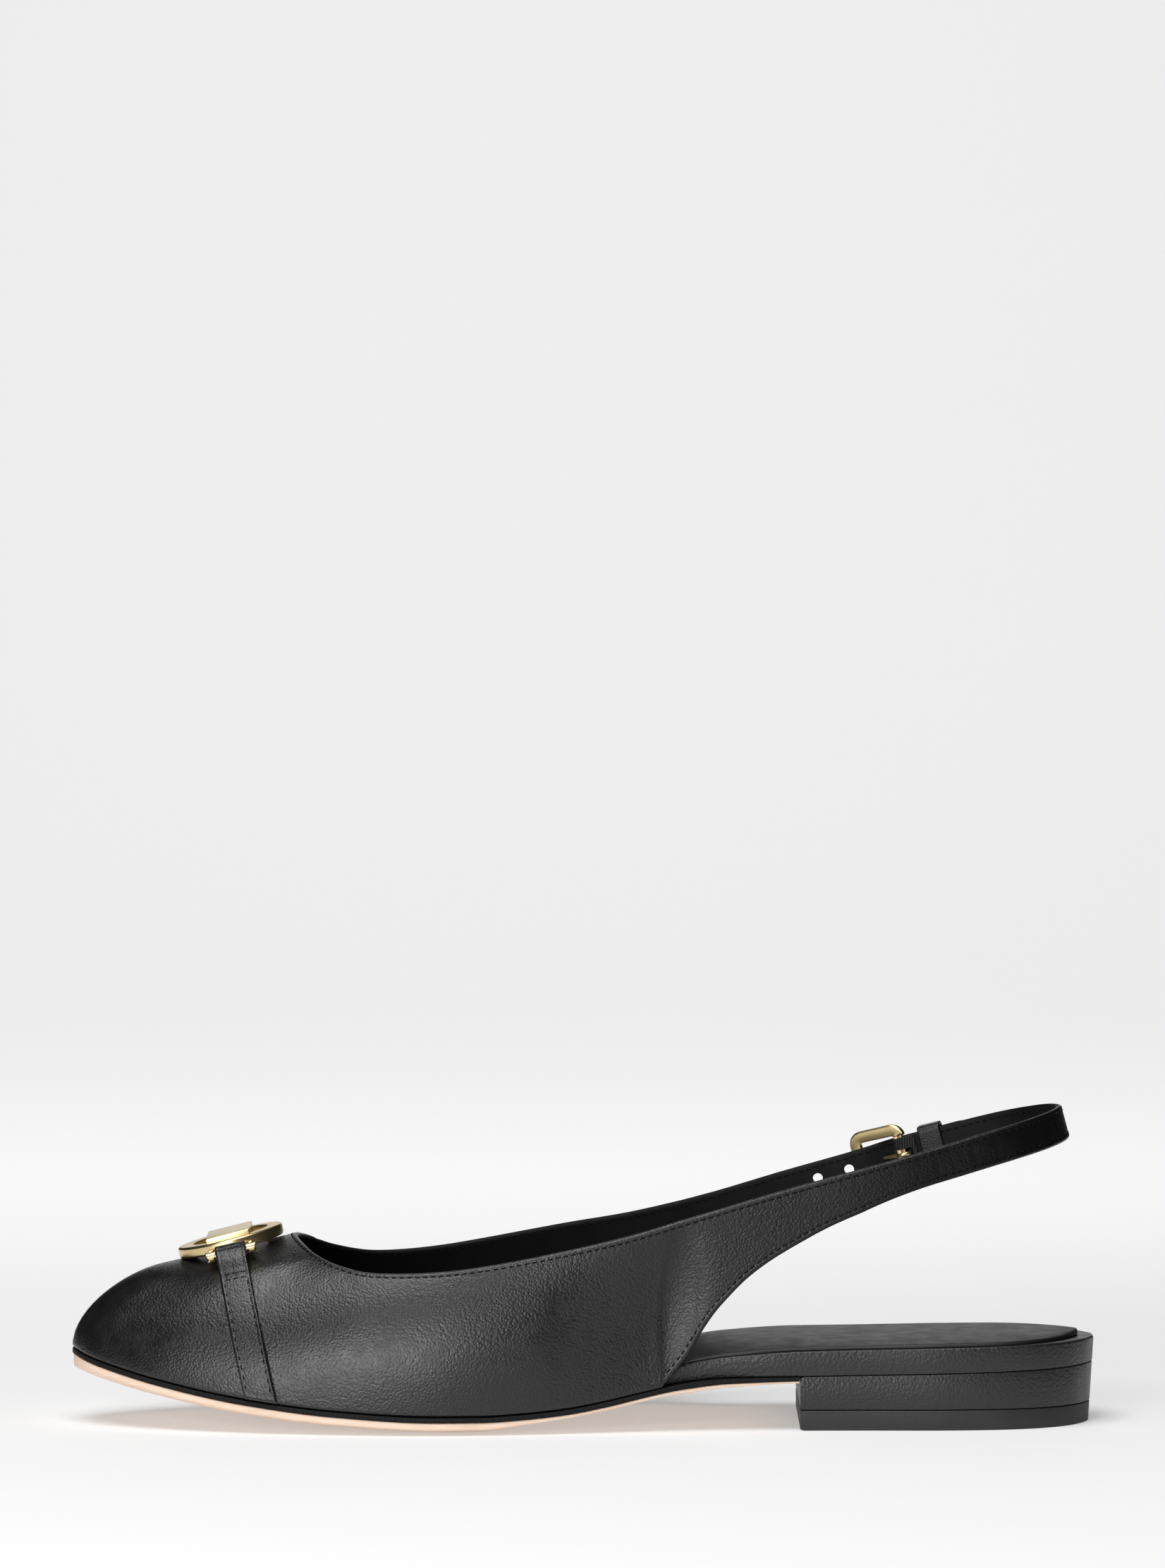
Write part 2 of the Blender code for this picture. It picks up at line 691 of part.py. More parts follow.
def strap_track(distance):
    """Track of a place on the lateral strap, by its distance behind the strap's start."""
    return STRAP_START + distance / STRAP_SCALE


def fold_nodes():
    """The sling strap's end: it thins, turns round the buckle's bar and runs back inside."""
    radius = BAR_DIAMETER / 2 + GAP + FOLD_THICKNESS / 2
    bar = 2 * STRAP_BACK - strap_track(BAR_PLACE)
    nodes = [(bar - FOLD_RETURN / STRAP_SCALE, -FOLD_THICKNESS / 2, FOLD_THICKNESS)]
    for step in range(9):
        angle = math.pi * step / 8
        nodes.append((bar + radius * math.sin(angle) / STRAP_SCALE,
                      BAR_LIFT + radius * math.cos(angle), FOLD_THICKNESS))
    nodes.append((bar - FOLD_RETURN / 2 / STRAP_SCALE, -WALL - 2 * GAP - FOLD_THICKNESS * 0.7,
                  FOLD_THICKNESS))
    nodes.append((bar - FOLD_RETURN / STRAP_SCALE, -WALL - GAP - FOLD_THICKNESS / 2,
                  FOLD_THICKNESS))
    return nodes


def upper_nodes():
    """Track, lift and thickness all along the upper, from the billet's tip to the fold."""
    mid = -WALL / 2
    tip = strap_track(BILLET_REACH)
    rising = strap_track(BAR_PLACE - BILLET_RISE_START)
    level = strap_track(BAR_PLACE - BILLET_RISE_END)
    nodes = [(-t, mid + BILLET_LIFT, WALL) for t in np.linspace(tip, rising, 10)]
    for share in (0.25, 0.5, 0.75):
        lift = BILLET_LIFT * (1 - share * share * (3 - 2 * share))
        nodes.append((-(rising + (level - rising) * share), mid + lift, WALL))
    nodes += [(-t, mid, WALL) for t in np.linspace(level, STRAP_START, 2)]
    nodes += [(-t, mid, WALL) for t in np.linspace(STRAP_START, 1, 13)[1:]]
    toe = np.linspace(0, 1, 27) ** 1.25
    nodes += [(-t, mid, WALL) for t in toe[::-1][1:]]
    nodes += [(t, mid, WALL) for t in toe[1:]]
    nodes += [(t, mid, WALL) for t in np.linspace(1, STRAP_START, 13)[1:]]
    nodes += [(t, mid, WALL) for t in np.linspace(STRAP_START, STRAP_BACK, 15)[1:]]
    last = 2 * STRAP_BACK - strap_track(BAR_PLACE + 2 * FOLD_RETURN)
    nodes += [(t, mid, WALL) for t in np.linspace(STRAP_BACK, last, 12)[1:]]
    return nodes + fold_nodes()


def upper_point(track, up, lift):
    """A point of the upper, whose billet is rounded at its tip."""
    tip = -strap_track(BILLET_REACH)
    inwards = (track - tip) * STRAP_SCALE
    if inwards < BILLET_TIP:
        width = math.sqrt(max(1 - (1 - max(inwards, 0.0) / BILLET_TIP) ** 2, 0.16))
        up = 0.5 + (up - 0.5) * width
    return off_skin(track, up, lift)


def strap_frame(distance):
    """A frame on the middle of the lateral strap: x forward along it, y up and z outwards."""
    track = -strap_track(distance)
    out = Vector(skin_normal(track, 0.5))
    up = Vector(skin(track, 0.9) - skin(track, 0.1))
    up = (up - up.project(out)).normalized()
    turn = Matrix((up.cross(out), up, out)).transposed().to_4x4()
    return Matrix.Translation(place(*skin(track, 0.5))) @ turn


def on_strap(distance, forward, up, out):
    """A place given in the strap's frame at a distance."""
    return strap_frame(distance) @ Vector((forward, up, out))


def front_bar_reach():
    return FRAME_LENGTH - FRAME_WIRE / 2 - BAR_DIAMETER / 2


def prong_line():
    """The straight stretch of the prong, from beside the bar to its tip on the front bar."""
    start = (PRONG_TURN, BAR_LIFT)
    end = (front_bar_reach() + FRAME_WIRE / 2,
           FRONT_LIFT + FRAME_WIRE / 2 + 3 * GAP + PRONG_DIAMETER / 2)
    return start, end


def make_upper(collection, cutters):
    made = ribbon("upper", upper_nodes(), 9, upper_point, STRAP_SCALE,
                  MATERIALS["black_leather"], collection)
    for number in (1, 2):
        distance = BAR_PLACE - HOLE_START - number * HOLE_PITCH
        up = cached_rib(LATERAL, strap_track(distance)).length / 2 - HOLE_DROP
        boolean(made, cylinder(f"strap_hole_{number}", HOLE_DIAMETER / 2,
                               on_strap(distance, 0, up, -2 * WALL),
                               on_strap(distance, 0, up, 2 * WALL), cutters))
    (x0, z0), (x1, z1) = prong_line()
    near, far = 0.2, 0.8
    ends = [on_strap(BAR_PLACE, x0 + (x1 - x0) * share, 0, z0 + (z1 - z0) * share)
            for share in (near, far)]
    boolean(made, cylinder("prong_hole", PRONG_DIAMETER / 2 + GAP, *ends, cutters))
    reach = BAR_DIAMETER / 2 + FOLD_THICKNESS + 3 * GAP
    slot = cube("fold_slot", (2 * reach, PRONG_SLOT, 2 * reach),
                strap_frame(BAR_PLACE) @ Matrix.Translation((0, 0, BAR_LIFT - GAP)), cutters)
    boolean(made, slot)


# Buckle and keeper

def tube(name, points, radii, cyclic, finish, collection, resolution=3):
    """A bent wire as a mesh, with a radius for each point."""
    data = bpy.data.curves.new(name, "CURVE")
    data.dimensions = "3D"
    data.bevel_depth = 1
    data.bevel_resolution = resolution
    data.use_fill_caps = not cyclic
    spline = data.splines.new("POLY")
    spline.points.add(len(points) - 1)
    for knot, point, radius in zip(spline.points, points, radii):
        knot.co = (*point, 1)
        knot.radius = radius
    spline.use_cyclic_u = cyclic
    guide = bpy.data.objects.new(name + "_wire", data)
    collection.objects.link(guide)
    bpy.context.view_layer.update()
    mesh = bpy.data.meshes.new_from_object(guide.evaluated_get(
        bpy.context.evaluated_depsgraph_get()))
    bpy.data.objects.remove(guide)
    bm = bmesh.new()
    bm.from_mesh(mesh)
    bmesh.ops.remove_doubles(bm, verts=bm.verts, dist=MERGE)
    bmesh.ops.recalc_face_normals(bm, faces=bm.faces)
    bpy.data.meshes.remove(mesh)
    return add_object(name, bm, MATERIALS[finish], collection)


def make_buckle(collection):
    rear = on_strap(BAR_PLACE, 0, 0, BAR_LIFT)
    front = on_strap(BAR_PLACE, front_bar_reach(), 0, FRONT_LIFT)
    up = strap_frame(BAR_PLACE).to_3x3() @ Vector((0, 1, 0))
    half = STRAP_WIDTH / 2 + FRAME_ROOM + FRAME_WIRE / 2
    corner = FRAME_WIRE
    forward = (front - rear).normalized()
    length = (front - rear).length
    points, radii = [], []
    for x, y, turn in ((length, half, 0), (0, half, 1), (0, -half, 2), (length, -half, 3)):
        centre_x = x - math.copysign(corner, x - length / 2)
        centre_y = y - math.copysign(corner, y)
        for step in range(5):
            angle = math.pi / 2 * (turn + step / 4)
            points.append(rear + forward * (centre_x + corner * math.cos(angle))
                          + up * (centre_y + corner * math.sin(angle)))
            thin = turn in (1, 2) and (step > 2 if turn == 1 else step < 2)
            radii.append((BAR_DIAMETER if thin else FRAME_WIRE) / 2)
    tube("buckle_frame", points, radii, True, "gold", collection)

    (x0, z0), (x1, z1) = prong_line()
    course = []
    for angle in np.radians(np.linspace(*PRONG_LOOP, 9)):
        course.append((PRONG_TURN * math.cos(angle), BAR_LIFT + PRONG_TURN * math.sin(angle)))
    course += [(x0 + (x1 - x0) * share, z0 + (z1 - z0) * share) for share in (0.12, 0.5, 1.0)]
    points = [on_strap(BAR_PLACE, x, 0, z) for x, z in course]
    tube("buckle_prong", points, [PRONG_DIAMETER / 2] * len(points), False, "gold", collection)


def make_keeper(collection, cutters):
    matrix = strap_frame(KEEPER_PLACE)
    low = -WALL - KEEPER_ROOM
    high = BILLET_LIFT + KEEPER_ROOM
    height = STRAP_WIDTH + 2 * KEEPER_ROOM
    middle = matrix @ Matrix.Translation((0, 0, (low + high) / 2))
    band = cube("strap_keeper", (KEEPER_LENGTH, height + 2 * KEEPER_WALL,
                                 high - low + 2 * KEEPER_WALL), middle, collection, KEEPER_BEVEL)
    room = cube("keeper_room", (2 * KEEPER_LENGTH, height, high - low), middle, cutters)
    dress(boolean(band, room), "black_leather")


# Ornament and vamp straps

def ridge_at(setback):
    """The share up the toe rib where the vamp's ridge is at a distance from the toe."""
    low, high = 0.2, 1.0
    for _ in range(30):
        middle = (low + high) / 2
        if skin(0, middle)[0] < setback:
            low = middle
        else:
            high = middle
    return low


def slope_place(point):
    """How far along the vamp's slope a point is."""
    return float(point @ SLOPE_AXIS)


def ring_matrix():
    """The ornament's frame: x down the slope of the vamp towards the throat, z off the vamp."""
    point = skin(0, ridge_at(ORNAMENT_SETBACK))
    turn = Matrix.Rotation(-SLOPE_ANGLE - RING_TILT, 4, "Y")
    lift = RING_STAND + GAP + RING_THICKNESS / 2
    return (Matrix.Translation(place(point[0], 0, point[2])) @ turn
            @ Matrix.Translation((0, 0, lift)))


def pin_reach():
    """How far to the side the middle of a pin is."""
    return RING_DIAMETER / 2 + PIN_DIAMETER / 2 + GAP + VAMP_STRAP_THICKNESS


def make_ornament(collection, cutters):
    matrix = ring_matrix()
    minor = RING_BAND / 2
    bpy.ops.mesh.primitive_torus_add(major_radius=RING_DIAMETER / 2 - minor, minor_radius=minor,
                                     major_segments=40, minor_segments=10)
    ring = bpy.context.object
    ring.name = ring.data.name = "ornament"
    ring.data.transform(matrix @ Matrix.Diagonal((1, 1, RING_THICKNESS / RING_BAND, 1)))
    for owner in ring.users_collection:
        owner.objects.unlink(ring)
    collection.objects.link(ring)
    dress(ring, "gold")
    top = RING_THICKNESS / 2 + PLAQUE_RISE
    plaque = cube("plaque", (PLAQUE_LENGTH, PLAQUE_WIDTH, PLAQUE_THICKNESS),
                  matrix @ Matrix.Translation((0, 0, top - PLAQUE_THICKNESS / 2)), cutters,
                  PLAQUE_BEVEL)
    boolean(ring, plaque, "UNION")
    gap = VAMP_STRAP_WIDTH / 2 + 1.5 * GAP
    for side in (MEDIAL, LATERAL):
        for way in (-1, 1):
            centre = (-LUG_SHIFT + way * (gap + LUG_WIDTH / 2),
                      side * (RING_DIAMETER / 2 - LUG_OVERLAP + LUG_DEPTH / 2),
                      -LUG_HEIGHT / 2)
            lug = cube(f"lug_{side}_{way}", (LUG_WIDTH, LUG_DEPTH, LUG_HEIGHT),
                       matrix @ Matrix.Translation(centre), cutters, LUG_BEVEL)
            boolean(ring, lug, "UNION")
        ends = [matrix @ Vector((-LUG_SHIFT + way * (gap + LUG_WIDTH * 0.7), side * pin_reach(),
                                 -PIN_DROP)) for way in (-1, 1)]
        boolean(ring, cylinder(f"pin_{side}", PIN_DIAMETER / 2, *ends, cutters, 12), "UNION")


def track_on_slope(side, up, target):
    """The track on one side whose skin, a share up its rib, lies at a place on the slope."""
    low, high = 0.02, 1.0
    for _ in range(24):
        middle = (low + high) / 2
        if slope_place(skin(-side * middle, up)) < target:
            low = middle
        else:
            high = middle
    return -side * low


def nearest_on(line, lengths, target):
    """How far along a polyline a point is nearest, and how far away it is."""
    found = []
    for start, end, length in zip(line[:-1], line[1:], lengths[:-1]):
        step = end - start
        share = float(np.clip((target - start) @ step / (step @ step), 0, 1))
        apart = np.linalg.norm(start + step * share - target)
        found.append((apart, length + share * np.linalg.norm(step)))
    apart, length = min(found)
    return length, apart


class StrapLine:
    """One line of a vamp strap, up the skin at a place on the slope."""

    def __init__(self, side, target, pin):
        self.side = side
        self.target = target
        self.ups = np.linspace(0.0, RIDGE_SHARE, 40)
        line = np.array([skin(track_on_slope(side, up, target), up) for up in self.ups])
        steps = np.linalg.norm(np.diff(line, axis=0), axis=1)
        self.lengths = np.concatenate([[0], np.cumsum(steps)])
        self.pin = pin + SLOPE_AXIS * (target - slope_place(pin))
        self.pin_place, self.pin_lift = nearest_on(line, self.lengths, self.pin)

    def follow(self, distance):
        """The skin and its normal, square to the slope, at a distance up the line."""
        up = float(np.interp(distance, self.lengths, self.ups))
        track = track_on_slope(self.side, up, self.target)
        normal = skin_normal(track, up)
        normal -= SLOPE_AXIS * (normal @ SLOPE_AXIS)
        return skin(track, up), normal / np.linalg.norm(normal)

    def at(self, distance, lift):
        """Follows the skin, and near the pin its own flat plane round the pin."""
        point, normal = self.follow(distance)
        bent = point + normal * lift
        near = float(np.clip((distance - self.pin_place) / PIN_EASE + 2, 0, 1))
        if near == 0:
            return bent
        normal = (self.pin - self.follow(self.pin_place)[0]) / self.pin_lift
        along = np.cross(SLOPE_AXIS, normal) * self.side
        flat = self.pin + along * (distance - self.pin_place) + normal * (lift - self.pin_lift)
        return bent + (flat - bent) * near


def make_vamp_strap(name, side, collection):
    """A strap from the rand up over the vamp, round the ornament's pin and back beneath."""
    pin = ring_matrix() @ Vector((-LUG_SHIFT, side * pin_reach(), -PIN_DROP))
    pin = np.array([pin.x + LENGTH / 2, pin.y, pin.z])
    centre = slope_place(pin)
    middle = StrapLine(side, centre, pin)
    pin_place, pin_lift = middle.pin_place, middle.pin_lift
    thickness = VAMP_STRAP_THICKNESS
    low = GAP + thickness / 2
    radius = PIN_DIAMETER / 2 + PIN_ROOM + thickness / 2
    lines = {}

    def point(distance, across, lift):
        share = min(distance / pin_place, 1)
        spread = VAMP_STRAP_WIDTH + VAMP_STRAP_SPREAD * (1 - share)
        target = centre + (across - 0.5) * spread
        key = round(across, 3)
        if key not in lines:
            lines[key] = StrapLine(side, target, pin)
        line = lines[key]
        line.target = target
        beyond = max(distance - pin_place, 0)
        return line.at(share * line.pin_place + beyond,
                       lift + (line.pin_lift - pin_lift) * share ** 4)

    nodes = [(distance, low, thickness) for distance in
             np.linspace(GAP, pin_place - VAMP_FOLD - 3 * MM, 9)]
    double = low + thickness + GAP
    nodes.append((pin_place - VAMP_FOLD, double, thickness))
    nodes.append((pin_place - VAMP_FOLD * 0.6, double, thickness))
    for angle in np.radians(np.linspace(*VAMP_FOLD_TURNS, 9)):
        nodes.append((pin_place + radius * math.sin(angle),
                      pin_lift + radius * math.cos(angle), thickness))
    nodes.append((pin_place - VAMP_FOLD * 0.5, low, thickness))
    nodes.append((pin_place - VAMP_FOLD + 1.5 * MM, low, thickness))
    ribbon(name, nodes, 3, point, 1, MATERIALS["black_leather"], collection)


# Materials and assembly

def make_materials():
    MATERIALS.update({
        "black_leather": material("black_leather", (0.020, 0.020, 0.021), 0.42),
        "wrapped_leather": material("wrapped_leather", (0.022, 0.022, 0.023), 0.48),
        "sock_leather": material("sock_leather", (0.016, 0.018, 0.021), 0.5),
        "black_edge": material("black_edge", (0.008, 0.008, 0.008), 0.7),
        "tan_leather": material("tan_leather", (0.78, 0.57, 0.42), 0.6),
        "rubber": material("rubber", (0.018, 0.018, 0.019), 0.6),
        "gold": material("gold", (0.72, 0.56, 0.26), 0.28, 1.0),
        "guide": material("guide", (0.5, 0.5, 0.5), 0.5),
    })


def main():
    for old in list(bpy.data.objects):
        bpy.data.objects.remove(old, do_unlink=True)
    shoe = bpy.data.collections.new("sling_back_flat")
    cutters = bpy.data.collections.new("cutters")
    for made in (shoe, cutters):
        bpy.context.scene.collection.children.link(made)
    make_materials()
    breast, full = make_sole(shoe)
    make_heel(shoe, breast, full)
    make_upper(shoe, cutters)
    make_vamp_strap("vamp_strap_medial", MEDIAL, shoe)
    make_vamp_strap("vamp_strap_lateral", LATERAL, shoe)
    make_ornament(shoe, cutters)
    make_buckle(shoe)
    make_keeper(shoe, cutters)


main()
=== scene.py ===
import math

import bmesh
import bpy
import numpy as np
from mathutils import Matrix, Vector, noise


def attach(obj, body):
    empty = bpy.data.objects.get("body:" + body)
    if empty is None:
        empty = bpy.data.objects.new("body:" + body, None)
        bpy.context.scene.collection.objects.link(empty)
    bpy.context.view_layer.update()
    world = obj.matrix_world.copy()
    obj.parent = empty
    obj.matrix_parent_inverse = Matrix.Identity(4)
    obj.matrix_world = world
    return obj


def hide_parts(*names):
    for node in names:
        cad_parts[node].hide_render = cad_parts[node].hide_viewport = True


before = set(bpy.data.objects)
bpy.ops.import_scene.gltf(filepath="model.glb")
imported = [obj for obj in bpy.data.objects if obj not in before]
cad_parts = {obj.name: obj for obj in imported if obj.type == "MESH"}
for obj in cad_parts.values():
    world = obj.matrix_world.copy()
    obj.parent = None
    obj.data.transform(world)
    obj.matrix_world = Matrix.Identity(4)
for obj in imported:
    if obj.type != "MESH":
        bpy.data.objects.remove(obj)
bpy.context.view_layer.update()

mm = 0.001
medial, lateral = -1, 1
strapStart, strapBack = 2.0, 3.0

# sizes of the shoe, the same as those of its solids
shoe = {
    "length": 255 * mm, "ball": 76.8 * mm, "seat": 53 * mm, "spring": 14 * mm,
    "seatRise": 8.9 * mm, "throatSetback": 56 * mm, "throatHeight": 46.8 * mm,
    "collarLength": 138 * mm, "strapRun": 52.7 * mm, "strapHeight": 79 * mm,
    "strapSpan": 59 * mm, "strapWidth": 8.6 * mm, "strapLean": math.radians(15),
    "strapFlare": 0.22, "flareRun": 0.30,
    "quarterEnd": 147 * mm, "vampSlope": 0.2235, "gap": 0.3 * mm, "wall": 1.5 * mm,
    "slingStart": 55 * mm,  # behind the middle of the shoe
    "toeShift": 3 * mm, "lateralFullness": 1.05, "bulge": 1.8 * mm, "rearFlare": 1.2 * mm,
}
sole = {
    "thickness": 3.2 * mm, "margin": 0.3 * mm, "rand": 0.9 * mm, "bed": 6.4 * mm,
    "sock": 1.0 * mm, "crown": 1.2 * mm, "sockSetback": 4 * mm, "sockMargin": 1.2 * mm,
    "lift": 5.2 * mm, "heelLength": 73.8 * mm, "taper": 1.3 * mm, "taperHeight": 21 * mm,
}
buckle = {
    "place": 14.2 * mm, "bar": 1.5 * mm, "fold": 0.9 * mm, "foldReturn": 3.6 * mm,
    "reach": 34 * mm, "tip": 5 * mm, "lift": 1.8 * mm, "riseStart": 1 * mm,
    "riseEnd": 11 * mm, "hole": 2.5 * mm, "pitch": 7.5 * mm, "holeStart": 7.1 * mm,
    "holeDrop": 4.2 * mm,
    "length": 13.4 * mm, "room": 1.7 * mm, "wire": 2.0 * mm, "prong": 1.1 * mm,
    "barWidth": 3.0 * mm, "elasticLength": 11 * mm,
    "slot": 2.8 * mm, "keeperPlace": 21.9 * mm, "keeperLength": 5.8 * mm,
    "keeperWall": 0.9 * mm, "keeperRoom": 0.4 * mm,
}
ornament = {
    "setback": 40 * mm, "ring": 26.7 * mm, "band": 4 * mm, "thickness": 2.4 * mm,
    "stand": 0.5 * mm, "tilt": math.radians(1.4), "plaqueLength": 11.2 * mm, "plaqueWidth": 21 * mm,
    "plaqueThickness": 1.8 * mm, "plaqueRise": 1.2 * mm, "lugWidth": 1.9 * mm,
    "lugDepth": 4.6 * mm, "lugOverlap": 2.0 * mm,
    "pin": 1.4 * mm, "pinDrop": 1.9 * mm, "lugShift": -0.2 * mm,
    "strapWidth": 7.4 * mm, "strapSpread": 0.6 * mm, "strapThickness": 1.0 * mm,
    "fold": 6.5 * mm, "ridgeShare": 0.76, "ease": 2.2 * mm, "wallExtra": 0.5 * mm,
}

# outline from above: share of the length, half widths as shares of the ball and of the seat
planTable = (
    # along, medial, lateral, seat
    (0.016, 0.175, 0.096, 0.0),
    (0.040, 0.243, 0.176, 0.0),
    (0.080, 0.324, 0.268, 0.0),
    (0.120, 0.378, 0.332, 0.0),
    (0.180, 0.433, 0.405, 0.0),
    (0.240, 0.469, 0.448, 0.0),
    (0.300, 0.493, 0.482, 0.0),
    (0.360, 0.499, 0.496, 0.0),
    (0.420, 0.478, 0.494, 0.0),
    (0.480, 0.444, 0.486, 0.0),
    (0.540, 0.408, 0.457, 0.0),
    (0.600, 0.190, 0.245, 0.27),
    (0.670, 0.050, 0.090, 0.44),
    (0.760, 0.000, 0.012, 0.502),
    (0.860, 0.000, 0.000, 0.500),
    (0.920, 0.000, 0.000, 0.453),
    (0.960, 0.000, 0.000, 0.355),
    (0.985, 0.000, 0.000, 0.220),
)
# heights along the length: rise from the toe spring and the seat, then shares of each layer
layerTable = (
    # along, spring, seat, sole, rand, bed
    (0.00, 1.000, 0.000, 1.00, 1.00, 0.31),
    (0.03, 0.825, 0.000, 1.00, 1.00, 0.31),
    (0.09, 0.555, 0.000, 1.00, 1.00, 0.31),
    (0.17, 0.280, 0.000, 1.00, 1.00, 0.31),
    (0.26, 0.090, 0.000, 1.00, 1.00, 0.31),
    (0.36, 0.000, 0.000, 1.00, 1.00, 0.31),
    (0.40, 0.000, 0.000, 1.00, 1.00, 0.31),
    (0.44, 0.000, 0.056, 0.70, 1.00, 0.34),
    (0.48, 0.000, 0.165, 0.50, 1.00, 0.41),
    (0.52, 0.000, 0.360, 0.46, 1.00, 0.50),
    (0.56, 0.000, 0.620, 0.46, 1.00, 0.62),
    (0.60, 0.000, 0.860, 0.56, 1.20, 0.70),
    (0.64, 0.000, 0.965, 0.50, 1.00, 0.81),
    (0.71, 0.000, 1.000, 0.28, 0.70, 0.97),
    (0.87, 0.000, 1.080, 0.28, 0.70, 1.00),
    (1.00, 0.000, 1.170, 0.28, 0.70, 0.97),
)
# throat and collar edge, then the strap's top edge on to its back
collarTable = (
    # run, ball, span, throat, strap, lateral
    (0.019, 0.176, 0.000, 0.965, 0.000, 0.000),
    (0.040, 0.247, 0.000, 0.927, 0.000, 0.000),
    (0.068, 0.303, 0.000, 0.893, 0.000, 0.000),
    (0.123, 0.366, 0.000, 0.855, 0.000, 0.000),
    (0.178, 0.3945, 0.000, 0.800, 0.029, 0.003),
    (0.254, 0.414, 0.000, 0.690, 0.100, 0.012),
    (0.326, 0.400, 0.032, 0.580, 0.180, 0.020),
    (0.486, 0.270, 0.205, 0.340, 0.373, 0.022),
    (0.609, 0.140, 0.356, 0.180, 0.517, 0.003),
    (0.746, 0.040, 0.470, 0.050, 0.665, -0.017),
    (0.884, 0.000, 0.508, 0.000, 0.765, -0.014),
    (1.000, 0.000, 0.500, 0.000, 0.820, -0.010),
)
strapTable = (
    # run, span, strap
    (0.228, 0.486, 0.861),
    (0.400, 0.463, 0.893),
    (0.588, 0.429, 0.929),
    (0.760, 0.369, 0.960),
    (0.873, 0.288, 0.979),
    (0.956, 0.178, 0.993),
    (1.000, 0.000, 1.000),
)
rearTable = (
    # along, rise
    (0.119, 0.177),
    (0.195, 0.320),
    (0.262, 0.430),
    (0.332, 0.521),
    (0.417, 0.619),
    (0.527, 0.716),
    (0.664, 0.812),
    (0.823, 0.911),
)
ribTable = (
    # station, collar, reach, slope, bulge, round
    (0.00, 0.000, 0.290, 1.0, 0.0, 1.0),
    (0.20, 0.070, 0.300, 1.5, 0.0, 1.0),
    (0.36, 0.150, 0.360, 1.6, 0.2, 1.0),
    (0.55, 0.268, 0.340, 1.0, 0.6, 1.0),
    (0.77, 0.456, 0.270, 0.4, 1.0, 1.0),
    (1.00, 0.708, 0.235, 0.0, 1.0, 0.9),
    (1.24, 0.747, 0.210, 0.0, 0.7, 0.6),
    (1.45, 0.782, 0.190, 0.0, 0.4, 0.3),
    (1.67, 0.843, 0.160, 0.0, 0.15, 0.1),
    (2.00, 1.000, 0.160, 0.0, 0.0, 0.0),
)


def column(table, index, levelStart=False):  # one column as a smooth function of the first
    xs = np.array([row[0] for row in table])
    ys = np.array([row[index] for row in table])
    steps = np.diff(xs)
    slopes = np.diff(ys) / steps
    tangents = np.zeros_like(ys)
    tangents[0] = 0 if levelStart else slopes[0]
    tangents[-1] = slopes[-1]
    for i in range(1, len(xs) - 1):
        before, after = slopes[i - 1], slopes[i]
        if before * after > 0:
            tangents[i] = 2 * before * after / (before + after)

    def at(x):
        i = np.clip(np.searchsorted(xs, x) - 1, 0, len(xs) - 2)
        t = np.clip((x - xs[i]) / steps[i], 0, 1)
        return ((1 + 2 * t) * (1 - t) ** 2 * ys[i] + t * (1 - t) ** 2 * steps[i] * tangents[i]
                + t * t * (3 - 2 * t) * ys[i + 1] + t * t * (t - 1) * steps[i] * tangents[i + 1])
    return at


def curveThrough(points, closed=False, steps=32):
    pts = np.array(points, dtype=float)
    count = len(pts)
    if closed:
        pts = np.vstack([pts[-1], pts, pts[0], pts[1]])
    else:
        pts = np.vstack([2 * pts[0] - pts[1], pts, 2 * pts[-1] - pts[-2]])
    chords = np.sqrt(np.linalg.norm(np.diff(pts, axis=0), axis=1))
    samples = []
    for i in range(1, count + (1 if closed else 0)):
        before, span, after = chords[i - 1], chords[i], chords[i + 1]
        p0, p1, p2, p3 = pts[i - 1:i + 3]
        start = span * ((p1 - p0) / before - (p2 - p0) / (before + span) + (p2 - p1) / span)
        end = span * ((p2 - p1) / span - (p3 - p1) / (span + after) + (p3 - p2) / after)
        for step in range(steps):
            t = step / steps
            samples.append((1 + 2 * t) * (1 - t) ** 2 * p1 + t * (1 - t) ** 2 * start
                           + t * t * (3 - 2 * t) * p2 + t * t * (t - 1) * end)
    samples.append(pts[1] if closed else pts[count])
    return np.array(samples)


curveSteps = 32


class Path:  # a polyline read by the share of its length
    def __init__(self, points):
        self.points = np.array(points)
        steps = np.linalg.norm(np.diff(self.points, axis=0), axis=1)
        self.places = np.concatenate([[0], np.cumsum(steps)])
        self.length = self.places[-1]

    def at(self, share):
        place = np.clip(share, 0, 1) * self.length
        return np.stack([np.interp(place, self.places, axis) for axis in self.points.T], axis=-1)


def planChains():
    ball, seat = shoe["ball"], shoe["seat"]
    inner = [(a * shoe["length"], -(m * ball + s * seat)) for a, m, _, s in planTable]
    outer = [(a * shoe["length"], o * ball + s * seat) for a, _, o, s in planTable]
    loop = [(0, -shoe["toeShift"])] + outer + [(shoe["length"], 0)] + inner[::-1]
    samples = curveThrough(loop, closed=True)
    turn = (len(planTable) + 1) * curveSteps
    return {medial: samples[turn:][::-1], lateral: samples[:turn + 1]}


chains = planChains()


